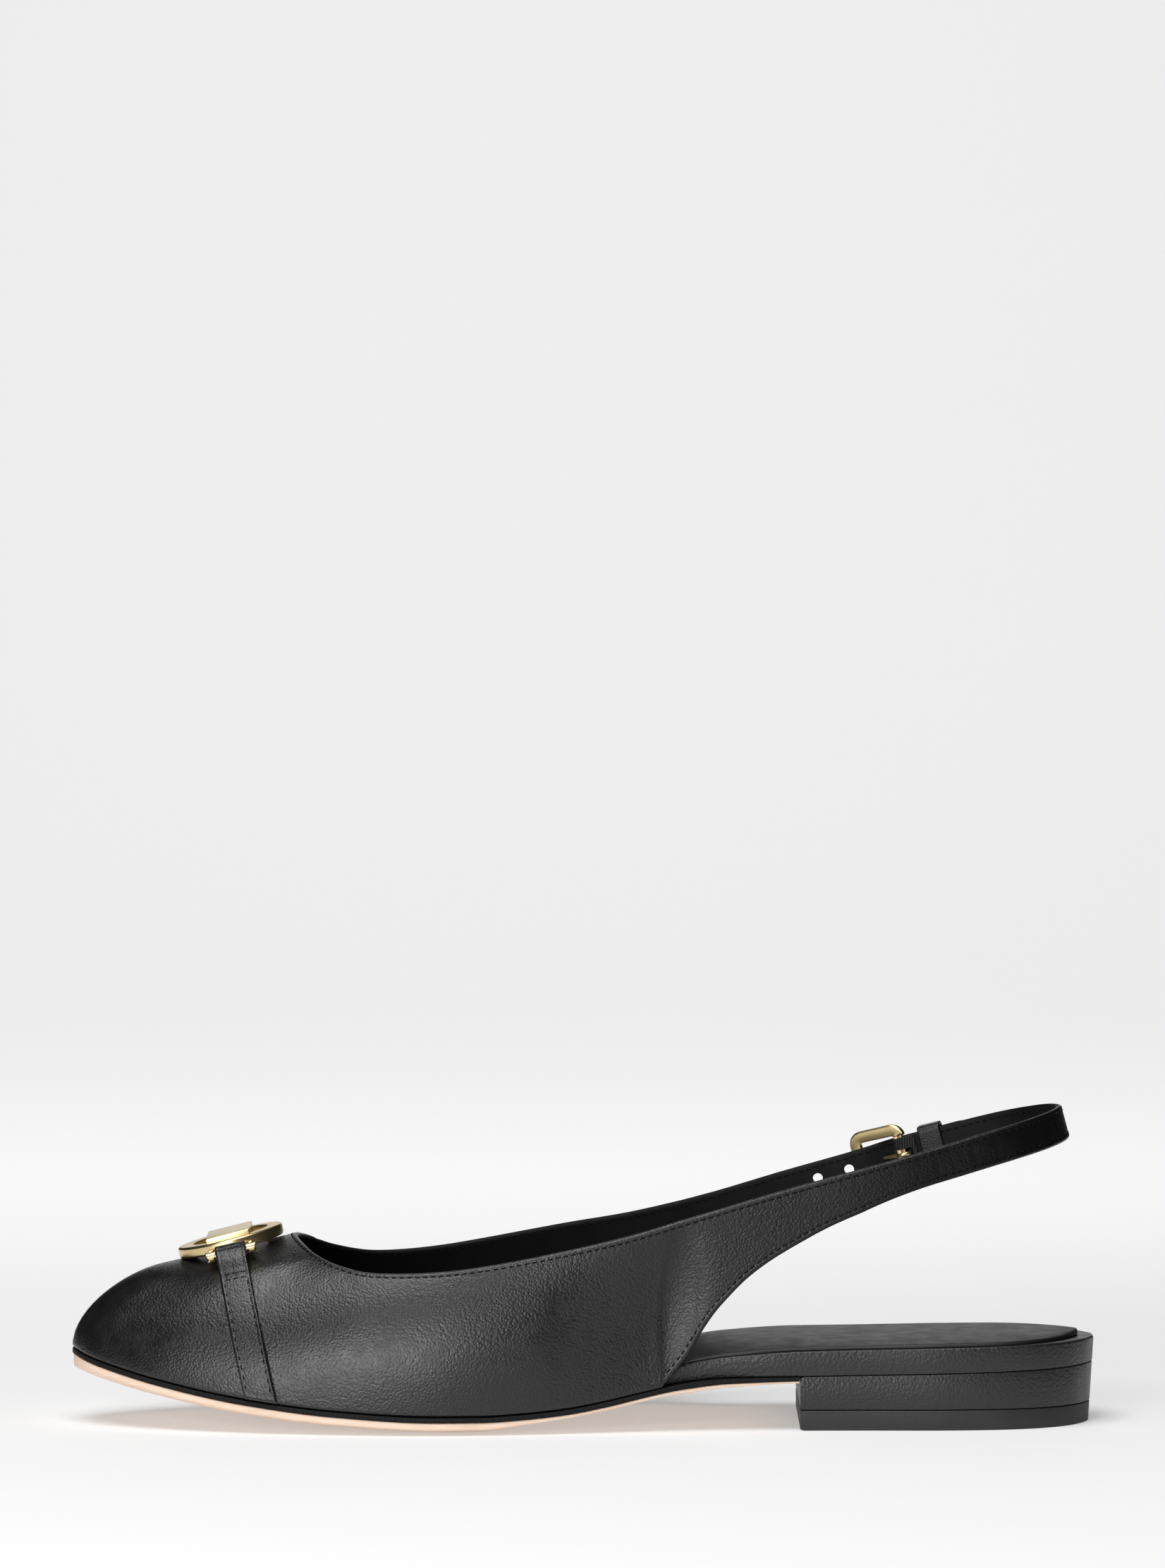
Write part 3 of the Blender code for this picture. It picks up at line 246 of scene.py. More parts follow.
class Outline:  # the plan moved inwards by inset(distance from the toe)
    def __init__(self, inset):
        self.chains = {}
        for side, chain in chains.items():
            tangent = np.gradient(chain, axis=0)
            tangent[0] = (0, side)
            tangent[-1] = (0, -side)
            tangent /= np.linalg.norm(tangent, axis=1)[:, None]
            inwards = np.stack([tangent[:, 1], -tangent[:, 0]], axis=1) * side
            self.chains[side] = chain + inwards * inset(chain[:, 0])[:, None]
        self.first = max(chain[0, 0] for chain in self.chains.values()) + 0.1 * mm
        self.last = min(chain[-1, 0] for chain in self.chains.values()) - 0.1 * mm

    def edge(self, side, d):
        chain = self.chains[side]
        return np.interp(d, chain[:, 0], chain[:, 1])


springShare = column(layerTable, 1)
seatShare = column(layerTable, 2)
soleShare = column(layerTable, 3)
randShare = column(layerTable, 4)
bedShare = column(layerTable, 5)


def rise(d):
    along = d / shoe["length"]
    return springShare(along) * shoe["spring"] + seatShare(along) * shoe["seatRise"]


def randTop(d):
    return rise(d) + sole["thickness"] + shoe["gap"] + sole["rand"]


def soleTop(d):
    return randTop(d) - randShare(d / shoe["length"]) * sole["rand"] - shoe["gap"]


def soleBottom(d):
    return soleTop(d) - soleShare(d / shoe["length"]) * sole["thickness"]


def feather(d):
    return randTop(d) + shoe["gap"]


def bedTop(d):
    return feather(d) + bedShare(d / shoe["length"]) * sole["bed"]


def collarPoints(side):
    width = shoe["ball"] * (shoe["lateralFullness"] if side == lateral else 1)
    onLateral = 1 if side == lateral else 0
    collar = [(shoe["throatSetback"] + run * shoe["collarLength"],
               side * (ball * width + span * shoe["strapSpan"]),
               (throat + extra * onLateral) * shoe["throatHeight"] + strap * shoe["strapHeight"])
              for run, ball, span, throat, strap, extra in collarTable]
    start = shoe["throatSetback"] + shoe["collarLength"]
    strap = [(start + run * shoe["strapRun"], side * span * shoe["strapSpan"],
              share * shoe["strapHeight"]) for run, span, share in strapTable]
    return collar, strap


def collarPaths():
    inner, innerStrap = collarPoints(medial)
    outer, outerStrap = collarPoints(lateral)
    loop = [(shoe["throatSetback"], 0, shoe["throatHeight"])] + inner + innerStrap
    loop += outerStrap[-2::-1] + outer[::-1]
    samples = curveThrough(loop, closed=True)
    turns = np.array([0, len(inner), len(inner) + len(innerStrap),
                      len(inner) + 2 * len(innerStrap), len(loop)]) * curveSteps
    return {medial: (Path(samples[:turns[1] + 1]), Path(samples[turns[1]:turns[2] + 1])),
            lateral: (Path(samples[turns[3]:][::-1]),
                      Path(samples[turns[2]:turns[3] + 1][::-1]))}


edges = collarPaths()


def strapDrop(station):  # from the strap's top edge to its lower one, wider at the quarter
    lean = shoe["strapLean"]
    left = max(0.0, 1 - (station - strapStart) / shoe["flareRun"])
    width = shoe["strapWidth"] * (1 + shoe["strapFlare"] * left * left)
    return np.array([math.sin(lean), 0, -math.cos(lean)]) * width


def featherPath(side):
    chain = chains[side]
    chain = chain[chain[:, 0] <= shoe["quarterEnd"]]
    edge = np.interp(shoe["quarterEnd"], chains[side][:, 0], chains[side][:, 1])
    chain = np.vstack([chain, (shoe["quarterEnd"], edge)])
    return Path([(d, y, feather(d)) for d, y in chain])


def rearPath(side, corner):
    start = edges[side][1].at(0) + strapDrop(strapStart)
    points = [corner]
    for along, up in rearTable:
        flare = shoe["rearFlare"] * math.sin(math.pi * up)
        points.append((corner[0] + along * (start[0] - corner[0]),
                       corner[1] + up * (start[1] - corner[1]) + side * flare,
                       corner[2] + up * (start[2] - corner[2])))
    half = shoe["flareRun"] / 2
    beyond = edges[side][1].at(half) + strapDrop(strapStart + half)
    return Path(curveThrough(points + [start, beyond])[:-curveSteps])


feet = {side: featherPath(side) for side in (medial, lateral)}
rears = {side: rearPath(side, feet[side].at(1)) for side in (medial, lateral)}
ribCollar = column(ribTable, 1)
ribReach = column(ribTable, 2, levelStart=True)
ribSlope = column(ribTable, 3, levelStart=True)
ribBulge = column(ribTable, 4, levelStart=True)
ribRound = column(ribTable, 5)


def ribLine(track, shares):  # one rib of the skin, from its foot to the collar
    side = lateral if track < 0 or track > strapBack else medial
    station = abs(track) if track < strapBack else 2 * strapBack - track
    collar, strap = edges[side]
    if station >= strapStart:
        top = strap.at(station - strapStart)
        foot = top + strapDrop(station)
    else:
        top = collar.at(ribCollar(station))
        foot = rears[side].at(station - 1) if station >= 1 else feet[side].at(station)
    straight = foot + (top - foot) * shares[:, None]
    roundness = ribRound(station)
    if station >= strapStart or roundness <= 0:
        return straight
    run = np.linalg.norm((top - foot)[:2])
    reach = ribReach(station) * shoe["ball"]
    turn = math.acos(max(1 - run / reach, 0))
    angles = np.linspace(0, turn, 160)
    runs = reach * (1 - np.cos(angles))
    walls = np.sin(angles) / math.sin(turn)
    if reach < run:
        rest = np.linspace(reach, run, 120)[1:]
        runs = np.concatenate([runs, rest])
        walls = np.concatenate([walls, np.ones_like(rest)])
    roof = top[2] - shoe["vampSlope"] * ribSlope(station) * (run - runs)
    heights = foot[2] + (roof - foot[2]) * walls
    outwards = (foot - top)[:2] / run
    swell = np.sin(math.pi * (heights - foot[2]) / (top[2] - foot[2]))
    swell = swell * shoe["bulge"] * ribBulge(station)
    flat = foot[:2] - outwards * (runs - swell)[:, None]
    lined = Path(np.column_stack([flat, heights])).at(shares)
    return straight + (lined - straight) * roundness


class Skin:  # the outer skin of the upper as a fine grid of tracks and shares up the rib
    def __init__(self):
        self.step = 0.005
        self.tracks = np.arange(-2.8, 4.3, self.step)
        self.ups = np.linspace(0, 1, 97)
        self.points = np.array([ribLine(track, self.ups) for track in self.tracks])
        self.ease()
        along = np.gradient(self.points, axis=0)
        across = np.gradient(self.points, axis=1)
        normals = np.cross(along, across)
        self.normals = normals / np.linalg.norm(normals, axis=2)[:, :, None]
        self.lengths = np.linalg.norm(np.diff(self.points, axis=1), axis=2).sum(axis=1)
        self.edgeTurns = []  # how squarely each rib meets the foot and the collar edge
        for end in (0, -1):
            rib = self.points[:, 1 if end == 0 else -2] - self.points[:, end]
            edge = along[:, end]
            crossed = np.linalg.norm(np.cross(rib, edge), axis=1)
            sizes = np.linalg.norm(rib, axis=1) * np.linalg.norm(edge, axis=1)
            self.edgeTurns.append(np.clip(crossed / sizes, 0.5, 1))

    def ease(self):  # the flanks' width runs evenly past the lower rear corner
        reach = int(0.14 / self.step)
        weights = np.exp(-(np.arange(-reach, reach + 1) * self.step / 0.06) ** 2)
        wide = np.pad(self.points[:, :, 1], ((reach, reach), (0, 0)), mode="edge")
        even = np.array([weights @ wide[i:i + 2 * reach + 1] for i in range(len(self.tracks))])
        station = np.abs(self.tracks)
        share = np.clip(np.minimum((station - 0.5) / 0.12, (1.7 - station) / 0.2), 0, 1)
        share = (share * share * (3 - 2 * share))[:, None]
        self.points[:, :, 1] += share * (even / weights.sum() - self.points[:, :, 1])

    def read(self, grid, track, up):
        x = np.clip((track - self.tracks[0]) / self.step, 0, len(self.tracks) - 1.001)
        y = np.clip(up, 0, 1) * (len(self.ups) - 1.001)
        i, j = x.astype(int), y.astype(int)
        s, t = (x - i)[..., None], (y - j)[..., None]
        return ((grid[i, j] * (1 - s) + grid[i + 1, j] * s) * (1 - t)
                + (grid[i, j + 1] * (1 - s) + grid[i + 1, j + 1] * s) * t)

    def at(self, track, up, lift=0.0):
        track, up = np.asarray(track, float), np.asarray(up, float)
        point = self.read(self.points, track, up)
        normal = self.normal(track, up)
        return point + normal * np.asarray(lift)[..., None]

    def normal(self, track, up):
        track, up = np.asarray(track, float), np.asarray(up, float)
        normal = self.read(self.normals, track, up)
        return normal / np.linalg.norm(normal, axis=-1)[..., None]

    def length(self, track):
        return np.interp(track, self.tracks, self.lengths)

    def edgeTurn(self, end, track):
        return np.interp(track, self.tracks, self.edgeTurns[end])


skin = Skin()
strapScale = edges[lateral][1].length / (strapBack - strapStart)
centring = np.array([shoe["length"] / 2, 0, 0])
print("skin ready")


# building helpers

def addPiece(name, bm, finishes, node=None, smooth=38):
    mesh = bpy.data.meshes.new(name)
    bm.to_mesh(mesh)
    bm.free()
    for finish in finishes:
        mesh.materials.append(materials[finish])
    mesh.shade_smooth()
    mesh.set_sharp_from_angle(angle=math.radians(smooth))
    made = bpy.data.objects.new(name, mesh)
    bpy.context.scene.collection.objects.link(made)
    if node:
        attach(made, "root")
        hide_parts(node)
    return made


def slabMesh(cells, shape):
    # a sheet given one cell of thickness, bent by shape(u, v, w); w = 0 has material 0
    bm = bmesh.new()
    bmesh.ops.create_grid(bm, x_segments=cells[0], y_segments=cells[1], size=0.5)
    for face in bm.faces:
        face.material_index = 0
    raised = bmesh.ops.extrude_face_region(bm, geom=bm.faces[:])["geom"]
    lifted = [item for item in raised if isinstance(item, bmesh.types.BMVert)]
    bmesh.ops.translate(bm, verts=lifted, vec=(0, 0, 1))
    for face in bm.faces:
        if sum(vert.co.z for vert in face.verts) > len(face.verts) - 0.5:
            face.material_index = 1
    flat = np.array([vert.co for vert in bm.verts])
    placed = shape(flat[:, 0] + 0.5, flat[:, 1] + 0.5, np.round(flat[:, 2]))
    for vert, spot in zip(bm.verts, placed - centring):
        vert.co = spot
    bmesh.ops.remove_doubles(bm, verts=bm.verts, dist=0.006 * mm)
    bmesh.ops.recalc_face_normals(bm, faces=bm.faces)
    return bm


def sweepMesh(course, acrossDirs, profile):
    # a closed bar along a closed course; profile is a list of (across, out) in metres
    course, acrossDirs, profile = map(np.array, (course, acrossDirs, profile))
    tangent = np.roll(course, -1, axis=0) - np.roll(course, 1, axis=0)
    tangent /= np.linalg.norm(tangent, axis=1)[:, None]
    outDirs = np.cross(tangent, acrossDirs)
    outDirs /= np.linalg.norm(outDirs, axis=1)[:, None]
    count, turns = len(course), len(profile)
    bm = bmesh.new()
    bmesh.ops.create_grid(bm, x_segments=count, y_segments=turns, size=0.5)
    flat = np.array([vert.co for vert in bm.verts])
    i = np.round((flat[:, 0] + 0.5) * count).astype(int) % count
    j = np.round((flat[:, 1] + 0.5) * turns).astype(int) % turns
    placed = course[i] + acrossDirs[i] * profile[j, 0:1] + outDirs[i] * profile[j, 1:2]
    for vert, spot in zip(bm.verts, placed):
        vert.co = spot
    bmesh.ops.remove_doubles(bm, verts=bm.verts, dist=0.006 * mm)
    bmesh.ops.recalc_face_normals(bm, faces=bm.faces)
    return bm


def roundedBox(width, height, corner, steps=5):  # points of a rounded rectangle
    corner = min(corner, width / 2 * 0.98, height / 2 * 0.98)
    points = []
    for turn, x, y in ((0, 1, 1), (1, -1, 1), (2, -1, -1), (3, 1, -1)):
        for step in range(steps + 1):
            angle = math.pi / 2 * (turn + step / steps)
            points.append((x * (width / 2 - corner) + corner * math.cos(angle),
                           y * (height / 2 - corner) + corner * math.sin(angle)))
    return points


def tubeMesh(points, radii, turns=20):
    # a round wire with domed ends
    points = np.array(points)
    course = Path(curveThrough(points, steps=6))
    shares = np.linspace(0, 1, 90)
    line = course.at(shares)
    sizes = np.interp(shares, np.linspace(0, 1, len(radii)), radii)
    ends = np.minimum(shares, 1 - shares) * course.length
    dome = np.sqrt(np.clip(1 - (1 - np.clip(ends / sizes, 0, 1)) ** 2, 0, 1))
    sizes = sizes * dome
    tangent = np.gradient(line, axis=0)
    tangent /= np.linalg.norm(tangent, axis=1)[:, None]
    helper = np.cross(tangent[0], tangent[len(tangent) // 2])
    helper = helper / np.linalg.norm(helper) if np.linalg.norm(helper) > 0.01 else (0, 1, 0)
    side = np.cross(tangent, helper)
    side /= np.linalg.norm(side, axis=1)[:, None]
    other = np.cross(tangent, side)
    bm = bmesh.new()
    bmesh.ops.create_grid(bm, x_segments=89, y_segments=turns, size=0.5)
    flat = np.array([vert.co for vert in bm.verts])
    i = np.round((flat[:, 0] + 0.5) * 89).astype(int)
    angle = (flat[:, 1] + 0.5) * 2 * math.pi
    placed = (line[i] + side[i] * (sizes[i] * np.cos(angle))[:, None]
              + other[i] * (sizes[i] * np.sin(angle))[:, None])
    for vert, spot in zip(bm.verts, placed):
        vert.co = spot
    bmesh.ops.remove_doubles(bm, verts=bm.verts, dist=0.006 * mm)
    bmesh.ops.recalc_face_normals(bm, faces=bm.faces)
    return bm


def cut(made, bm, name):
    # takes a helper's room out of a piece
    mesh = bpy.data.meshes.new(name)
    bm.to_mesh(mesh)
    bm.free()
    helper = bpy.data.objects.new(name, mesh)
    bpy.context.scene.collection.objects.link(helper)
    modifier = made.modifiers.new(name, "BOOLEAN")
    modifier.solver = "EXACT"
    modifier.object = helper
    bpy.context.view_layer.update()
    graph = bpy.context.evaluated_depsgraph_get()
    result = bpy.data.meshes.new_from_object(made.evaluated_get(graph))
    made.modifiers.clear()
    old = made.data
    made.data = result
    bpy.data.meshes.remove(old)
    bpy.data.objects.remove(helper)


def rod(radius, start, end, segments=32):
    start, end = Vector(start), Vector(end)
    bm = bmesh.new()
    bmesh.ops.create_cone(bm, cap_ends=True, segments=segments, radius1=radius, radius2=radius,
                          depth=(end - start).length)
    turn = (end - start).to_track_quat("Z", "Y").to_matrix().to_4x4()
    bm.transform(Matrix.Translation((start + end) / 2) @ turn)
    return bm


def block(size, matrix, bevel=0.0, segments=3):
    bm = bmesh.new()
    bmesh.ops.create_cube(bm, size=1)
    bmesh.ops.scale(bm, vec=size, verts=bm.verts)
    if bevel:
        bmesh.ops.bevel(bm, geom=bm.edges[:], offset=bevel, offset_type="OFFSET",
                        segments=segments, profile=0.5, affect="EDGES", material=-1)
    bm.transform(matrix)
    return bm


def joined(parts):
    whole = bmesh.new()
    for part in parts:
        mesh = bpy.data.meshes.new("part")
        part.to_mesh(mesh)
        part.free()
        whole.from_mesh(mesh)
        bpy.data.meshes.remove(mesh)
    return whole


# materials

materials = {}


class Nodes:  # a short way of building a material's nodes
    def __init__(self, name):
        self.material = bpy.data.materials.new(name)
        self.material.use_nodes = True
        self.tree = self.material.node_tree
        self.shader = self.tree.nodes["Principled BSDF"]
        self.coords = self.add("ShaderNodeTexCoord").outputs["Object"]
        materials[name] = self.material

    def add(self, kind, inputs=None, **settings):
        node = self.tree.nodes.new(kind)
        for key, value in settings.items():
            setattr(node, key, value)
        for key, value in (inputs or {}).items():
            if isinstance(value, bpy.types.NodeSocket):
                self.tree.links.new(value, node.inputs[key])
            else:
                node.inputs[key].default_value = value
        return node

    def noise(self, scale, detail=3.0, roughness=0.5, vector=None):
        node = self.add("ShaderNodeTexNoise", {"Vector": vector or self.coords, "Scale": scale,
                                               "Detail": detail, "Roughness": roughness})
        return node.outputs["Fac"]

    def cells(self, scale, smoothness=0.35, vector=None):
        node = self.add("ShaderNodeTexVoronoi", {"Vector": vector or self.coords,
                                                 "Scale": scale, "Smoothness": smoothness},
                        feature="SMOOTH_F1")
        return node.outputs["Distance"]

    def stretched(self, scale):
        return self.add("ShaderNodeMapping", {"Vector": self.coords,
                                              "Scale": scale}).outputs["Vector"]

    def span(self, value, low, high, start=0.0, end=1.0):
        return self.add("ShaderNodeMapRange", {"Value": value, "From Min": start,
                                               "From Max": end, "To Min": low,
                                               "To Max": high}).outputs["Result"]

    def blend(self, factor, low, high):
        node = self.add("ShaderNodeMix", {"Factor": factor}, data_type="RGBA")
        for key, value in ((6, low), (7, high)):
            if isinstance(value, bpy.types.NodeSocket):
                self.tree.links.new(value, node.inputs[key])
            else:
                node.inputs[key].default_value = (*value, 1)
        return node.outputs[2]

    def bump(self, height, distance, strength=1.0, below=None):
        inputs = {"Height": height, "Distance": distance, "Strength": strength}
        if below:
            inputs["Normal"] = below
        return self.add("ShaderNodeBump", inputs).outputs["Normal"]

    def finish(self, **inputs):
        for key, value in inputs.items():
            socket = self.shader.inputs[key.replace("_", " ")]
            if isinstance(value, bpy.types.NodeSocket):
                self.tree.links.new(value, socket)
            elif isinstance(value, tuple):
                socket.default_value = (*value, 1)
            else:
                socket.default_value = value
        return self.material


shadeRun = 85 * mm  # painted shade: the sheen fades over this run, from the middle of the shoe back along the sling


def leather(name, dark, light, roughness, grain=1500, depth=0.05, coat=0.0, wrinkle=0.0,
            shine=0.5, shadedShineTo=None):
    made = Nodes(name)
    pebbles = made.cells(grain)
    fine = made.noise(grain * 2.3, 4)
    drift = made.noise(60, 3)
    patches = made.noise(240, 2)
    tone = made.blend(made.span(drift, 0, 1, 0.3, 0.7), dark, light)
    tone = made.blend(made.span(pebbles, 0.35, 0, 0, 0.25), tone, tuple(c * 1.35 for c in light))
    rough = made.add("ShaderNodeMath", {0: made.span(patches, roughness - 0.05,
                                                     roughness + 0.06, 0.3, 0.7),
                                        1: made.span(fine, -0.03, 0.03, 0.3, 0.7)},
                     operation="ADD").outputs[0]
    normal = made.bump(made.noise(420, 3), 0.06 * mm, 0.7)
    if wrinkle:
        folds = made.noise(1.0, 2, 0.6, made.stretched((900, 900, 110)))
        normal = made.bump(folds, wrinkle * mm, 0.9, normal)
    normal = made.bump(pebbles, -depth * mm, 0.9, normal)
    normal = made.bump(fine, 0.014 * mm, 0.7, normal)
    if shadedShineTo is not None:  # painted shade: the sheen and coat fade along the quarter to the sling, so the back looks darker
        place = made.add("ShaderNodeSeparateXYZ", {"Vector": made.coords}).outputs["X"]
        coat = made.span(place, coat, 0.02, 0.0, shadeRun)
        shine = made.span(place, shine, shadedShineTo, 0.0, shadeRun)
    made.finish(Base_Color=tone, Roughness=rough, Normal=normal, Coat_Weight=coat,
                Coat_Roughness=0.28, Specular_IOR_Level=shine)


def makeMaterials():
    # the upper's and strap's leather carry painted shade: their sheen fades towards the heel
    leather("upperLeather", (0.0035, 0.0036, 0.0039), (0.0055, 0.0056, 0.006), 0.38,
            grain=1650, depth=0.10, coat=0.12, shadedShineTo=0.2)
    leather("strapLeather", (0.0035, 0.0036, 0.0039), (0.0055, 0.0056, 0.006), 0.37,
            grain=1900, depth=0.09, coat=0.12, wrinkle=0.04, shadedShineTo=0.2)
    leather("keeperLeather", (0.003, 0.003, 0.0033), (0.005, 0.005, 0.0055), 0.36, grain=2000,
            depth=0.05, shine=0.3)
    leather("lining", (0.0022, 0.0022, 0.0024), (0.0036, 0.0036, 0.004), 0.6, grain=2400,
            depth=0.02, shine=0.16)
    leather("wrapped", (0.009, 0.009, 0.0097), (0.014, 0.014, 0.0148), 0.42, grain=1400,
            depth=0.11, coat=0.05)
    leather("sockLeather", (0.0055, 0.006, 0.0075), (0.009, 0.0098, 0.012), 0.50, grain=2800,
            depth=0.014)

    elastic = Nodes("elastic")
    ribs = elastic.add("ShaderNodeTexWave", {"Vector": elastic.coords, "Scale": 480,
                                             "Distortion": 0.6, "Detail": 1},
                       bands_direction="X").outputs["Fac"]
    elastic.finish(Base_Color=elastic.blend(ribs, (0.002, 0.002, 0.002), (0.008, 0.008, 0.008)),
                   Roughness=0.75, Normal=elastic.bump(ribs, 0.2 * mm))

    thread = Nodes("thread")
    twist = thread.noise(3000, 2)
    thread.finish(Base_Color=(0.003, 0.003, 0.003), Roughness=0.8, Specular_IOR_Level=0.15,
                  Normal=thread.bump(twist, 0.03 * mm))
    # painted shade: matte black for the dots that stand for the needle holes' shade
    hole = Nodes("needleHoleShade")
    hole.finish(Base_Color=(0.001, 0.001, 0.001), Roughness=1.0, Specular_IOR_Level=0.0,
                Normal=hole.bump(hole.noise(2500), 0.01 * mm))

    rand = Nodes("randEdge")
    ticks = rand.cells(1600, 0.1)
    rand.finish(Base_Color=rand.blend(rand.span(ticks, 0, 1, 0.1, 0.5), (0.007, 0.007, 0.007),
                                      (0.002, 0.002, 0.002)),
                Specular_IOR_Level=0.25, Roughness=0.7, Normal=rand.bump(ticks, -0.12 * mm))

    tan = Nodes("tanLeather")
    fibre = tan.noise(1.0, 4, 0.6, tan.stretched((160, 160, 2600)))
    spots = tan.noise(90, 4)
    pores = tan.noise(1500, 3)
    tone = tan.blend(tan.span(fibre, 0, 1, 0.3, 0.7), (0.76, 0.565, 0.43), (0.86, 0.67, 0.535))
    tone = tan.blend(tan.span(spots, 0, 0.28, 0.5, 0.75), tone, (0.62, 0.42, 0.29))
    tan.finish(Base_Color=tone, Roughness=tan.span(pores, 0.5, 0.66, 0.3, 0.7),
               Normal=tan.bump(pores, 0.02 * mm, 0.8, tan.bump(fibre, 0.05 * mm, 0.6)))

    rubber = Nodes("liftRubber")
    specks = rubber.noise(2200, 3)
    rubber.finish(Base_Color=rubber.blend(rubber.noise(140, 3), (0.010, 0.010, 0.0105),
                                          (0.018, 0.018, 0.0185)),
                  Roughness=rubber.span(specks, 0.5, 0.66, 0.3, 0.7),
                  Normal=rubber.bump(specks, 0.02 * mm))

    gold = Nodes("goldPlate")
    brushed = gold.noise(700, 1)
    cloud = gold.noise(120, 2)
    gold.finish(Base_Color=gold.blend(cloud, (0.68, 0.52, 0.25), (0.77, 0.62, 0.34)),
                Metallic=1.0, Roughness=gold.span(cloud, 0.27, 0.31, 0.3, 0.7),
                Normal=gold.bump(brushed, 0.002 * mm, 0.1))


makeMaterials()


# the upper: columns along the skin, rows from the lower edge to the collar

def trackAt(distance):  # track of a place on the lateral strap, behind the strap's start
    return strapStart + distance / strapScale


barLift = -(buckle["fold"] + shoe["gap"] + buckle["bar"] / 2)
frontLift = shoe["gap"] + buckle["wire"] / 2
prongTurn = buckle["bar"] / 2 + shoe["gap"] + buckle["prong"] / 2


def upperCourse():
    wall, gap, fold = shoe["wall"], shoe["gap"], buckle["fold"]
    mid = -wall / 2
    tip = trackAt(buckle["reach"])
    rising = trackAt(buckle["place"] - buckle["riseStart"])
    level = trackAt(buckle["place"] - buckle["riseEnd"])
    rows = [(-t, mid + buckle["lift"], wall)
            for t in tip + (rising - tip) * np.linspace(0, 1, 58) ** 1.2]
    for share in np.linspace(0, 1, 18)[1:]:
        lift = buckle["lift"] * (1 - share * share * (3 - 2 * share))
        rows.append((-(rising + (level - rising) * share), mid + lift, wall))
    rows += [(-t, mid, wall) for t in np.linspace(level, strapStart, 5)[1:]]
    rows += [(-t, mid, wall) for t in np.linspace(strapStart, 1, 80)[1:]]
    toe = np.linspace(0, 1, 190) ** 1.15
    rows += [(-t, mid, wall) for t in toe[::-1][1:]]
    rows += [(t, mid, wall) for t in toe[1:]]
    rows += [(t, mid, wall) for t in np.linspace(1, strapStart, 80)[1:]]
    rows += [(t, mid, wall) for t in np.linspace(strapStart, strapBack, 92)[1:]]
    end = 2 * strapBack - trackAt(buckle["place"] + 2 * buckle["foldReturn"])
    rows += [(t, mid, wall) for t in np.linspace(strapBack, end, 62)[1:]]
    bar = 2 * strapBack - trackAt(buckle["place"])
    radius = buckle["bar"] / 2 + gap + fold / 2
    back = buckle["foldReturn"] / strapScale
    for share in np.linspace(0, 1, 12)[1:]:
        ease = share * share * (3 - 2 * share)
        rows.append((end + (bar - back - end) * share, mid + (-fold / 2 - mid) * ease,
                     wall + (fold - wall) * ease))
    for share in np.linspace(0, 1, 8)[1:-1]:
        rows.append((bar - back * (1 - share), -fold / 2, fold))
    for angle in np.linspace(0, math.pi, 20):
        rows.append((bar + radius * math.sin(angle) / strapScale,
                     barLift + radius * math.cos(angle), fold))
    for share in np.linspace(0, 1, 12)[1:]:
        low = barLift - radius
        target = -wall - gap - fold / 2
        rows.append((bar - back * share, low + (target - low) * share * (2 - share), fold))
    return np.array(rows)


course = upperCourse()
courseFlat = course[:, :2] * (strapScale, 1)
courseTangent = np.gradient(courseFlat, axis=0)
courseTangent /= np.linalg.norm(courseTangent, axis=1)[:, None]
courseNormal = np.stack([-courseTangent[:, 1], courseTangent[:, 0]], axis=1)

edgeRows = np.array([0, 0.07, 0.2, 0.4, 0.66, 1.0, 1.38, 1.8]) * mm
middleRows = 30


def rowShares():
    lengths = skin.length(course[:, 0])
    footTurn = skin.edgeTurn(0, course[:, 0])
    topTurn = skin.edgeTurn(1, course[:, 0])
    rows = []
    for length, foot, top in zip(lengths, footTurn, topTurn):
        low = edgeRows / foot / length
        high = 1 - (edgeRows / top / length)[::-1]
        between = np.linspace(low[-1], high[0], middleRows + 2)[1:-1]
        rows.append(np.concatenate([low, between, high]))
    return np.array(rows), lengths, footTurn, topTurn


upShares, ribLengths, footTurns, topTurns = rowShares()

# listed creases: place on the skin, direction from the track's way, sizes in millimetres
creases = (
    # track, up, angle, length, width, depth, bend
    (0.30, 0.95, 70, 5.0, 0.9, 0.09, 0.02),
    (-0.30, 0.95, -70, 5.0, 0.9, 0.08, 0.02),
    (2.30, 0.50, 85, 3.6, 0.55, 0.07, 0.0),
    (2.36, 0.50, 95, 3.8, 0.5, 0.06, 0.0),
    (2.44, 0.50, 88, 3.6, 0.6, 0.07, 0.0),
    (2.53, 0.50, 92, 3.4, 0.5, 0.05, 0.0),
    (3.40, 0.50, 90, 3.6, 0.6, 0.06, 0.0),
)


def creaseLift(points):
    lift = np.zeros(len(points))
    for track, up, angle, length, width, depth, bend in creases:
        centre = skin.at(track, up)
        along = skin.at(track + 0.01, up) - skin.at(track - 0.01, up)
        along /= np.linalg.norm(along)
        normal = skin.normal(track, up)
        way = Vector(along).copy()
        way.rotate(Matrix.Rotation(math.radians(angle), 3, Vector(normal)))
        way = np.array(way)
        across = np.cross(normal, way)
        offset = (points - centre) / mm
        run = offset @ way
        aside = offset @ across + bend * run * run
        near = np.exp(-(run / length) ** 4) * (np.abs(offset @ normal) < 6)
        trough = np.exp(-(aside / width) ** 2)
        banks = np.exp(-((np.abs(aside) - 1.9 * width) / width) ** 2)
        lift += near * (0.4 * banks - trough) * depth * mm
    return lift


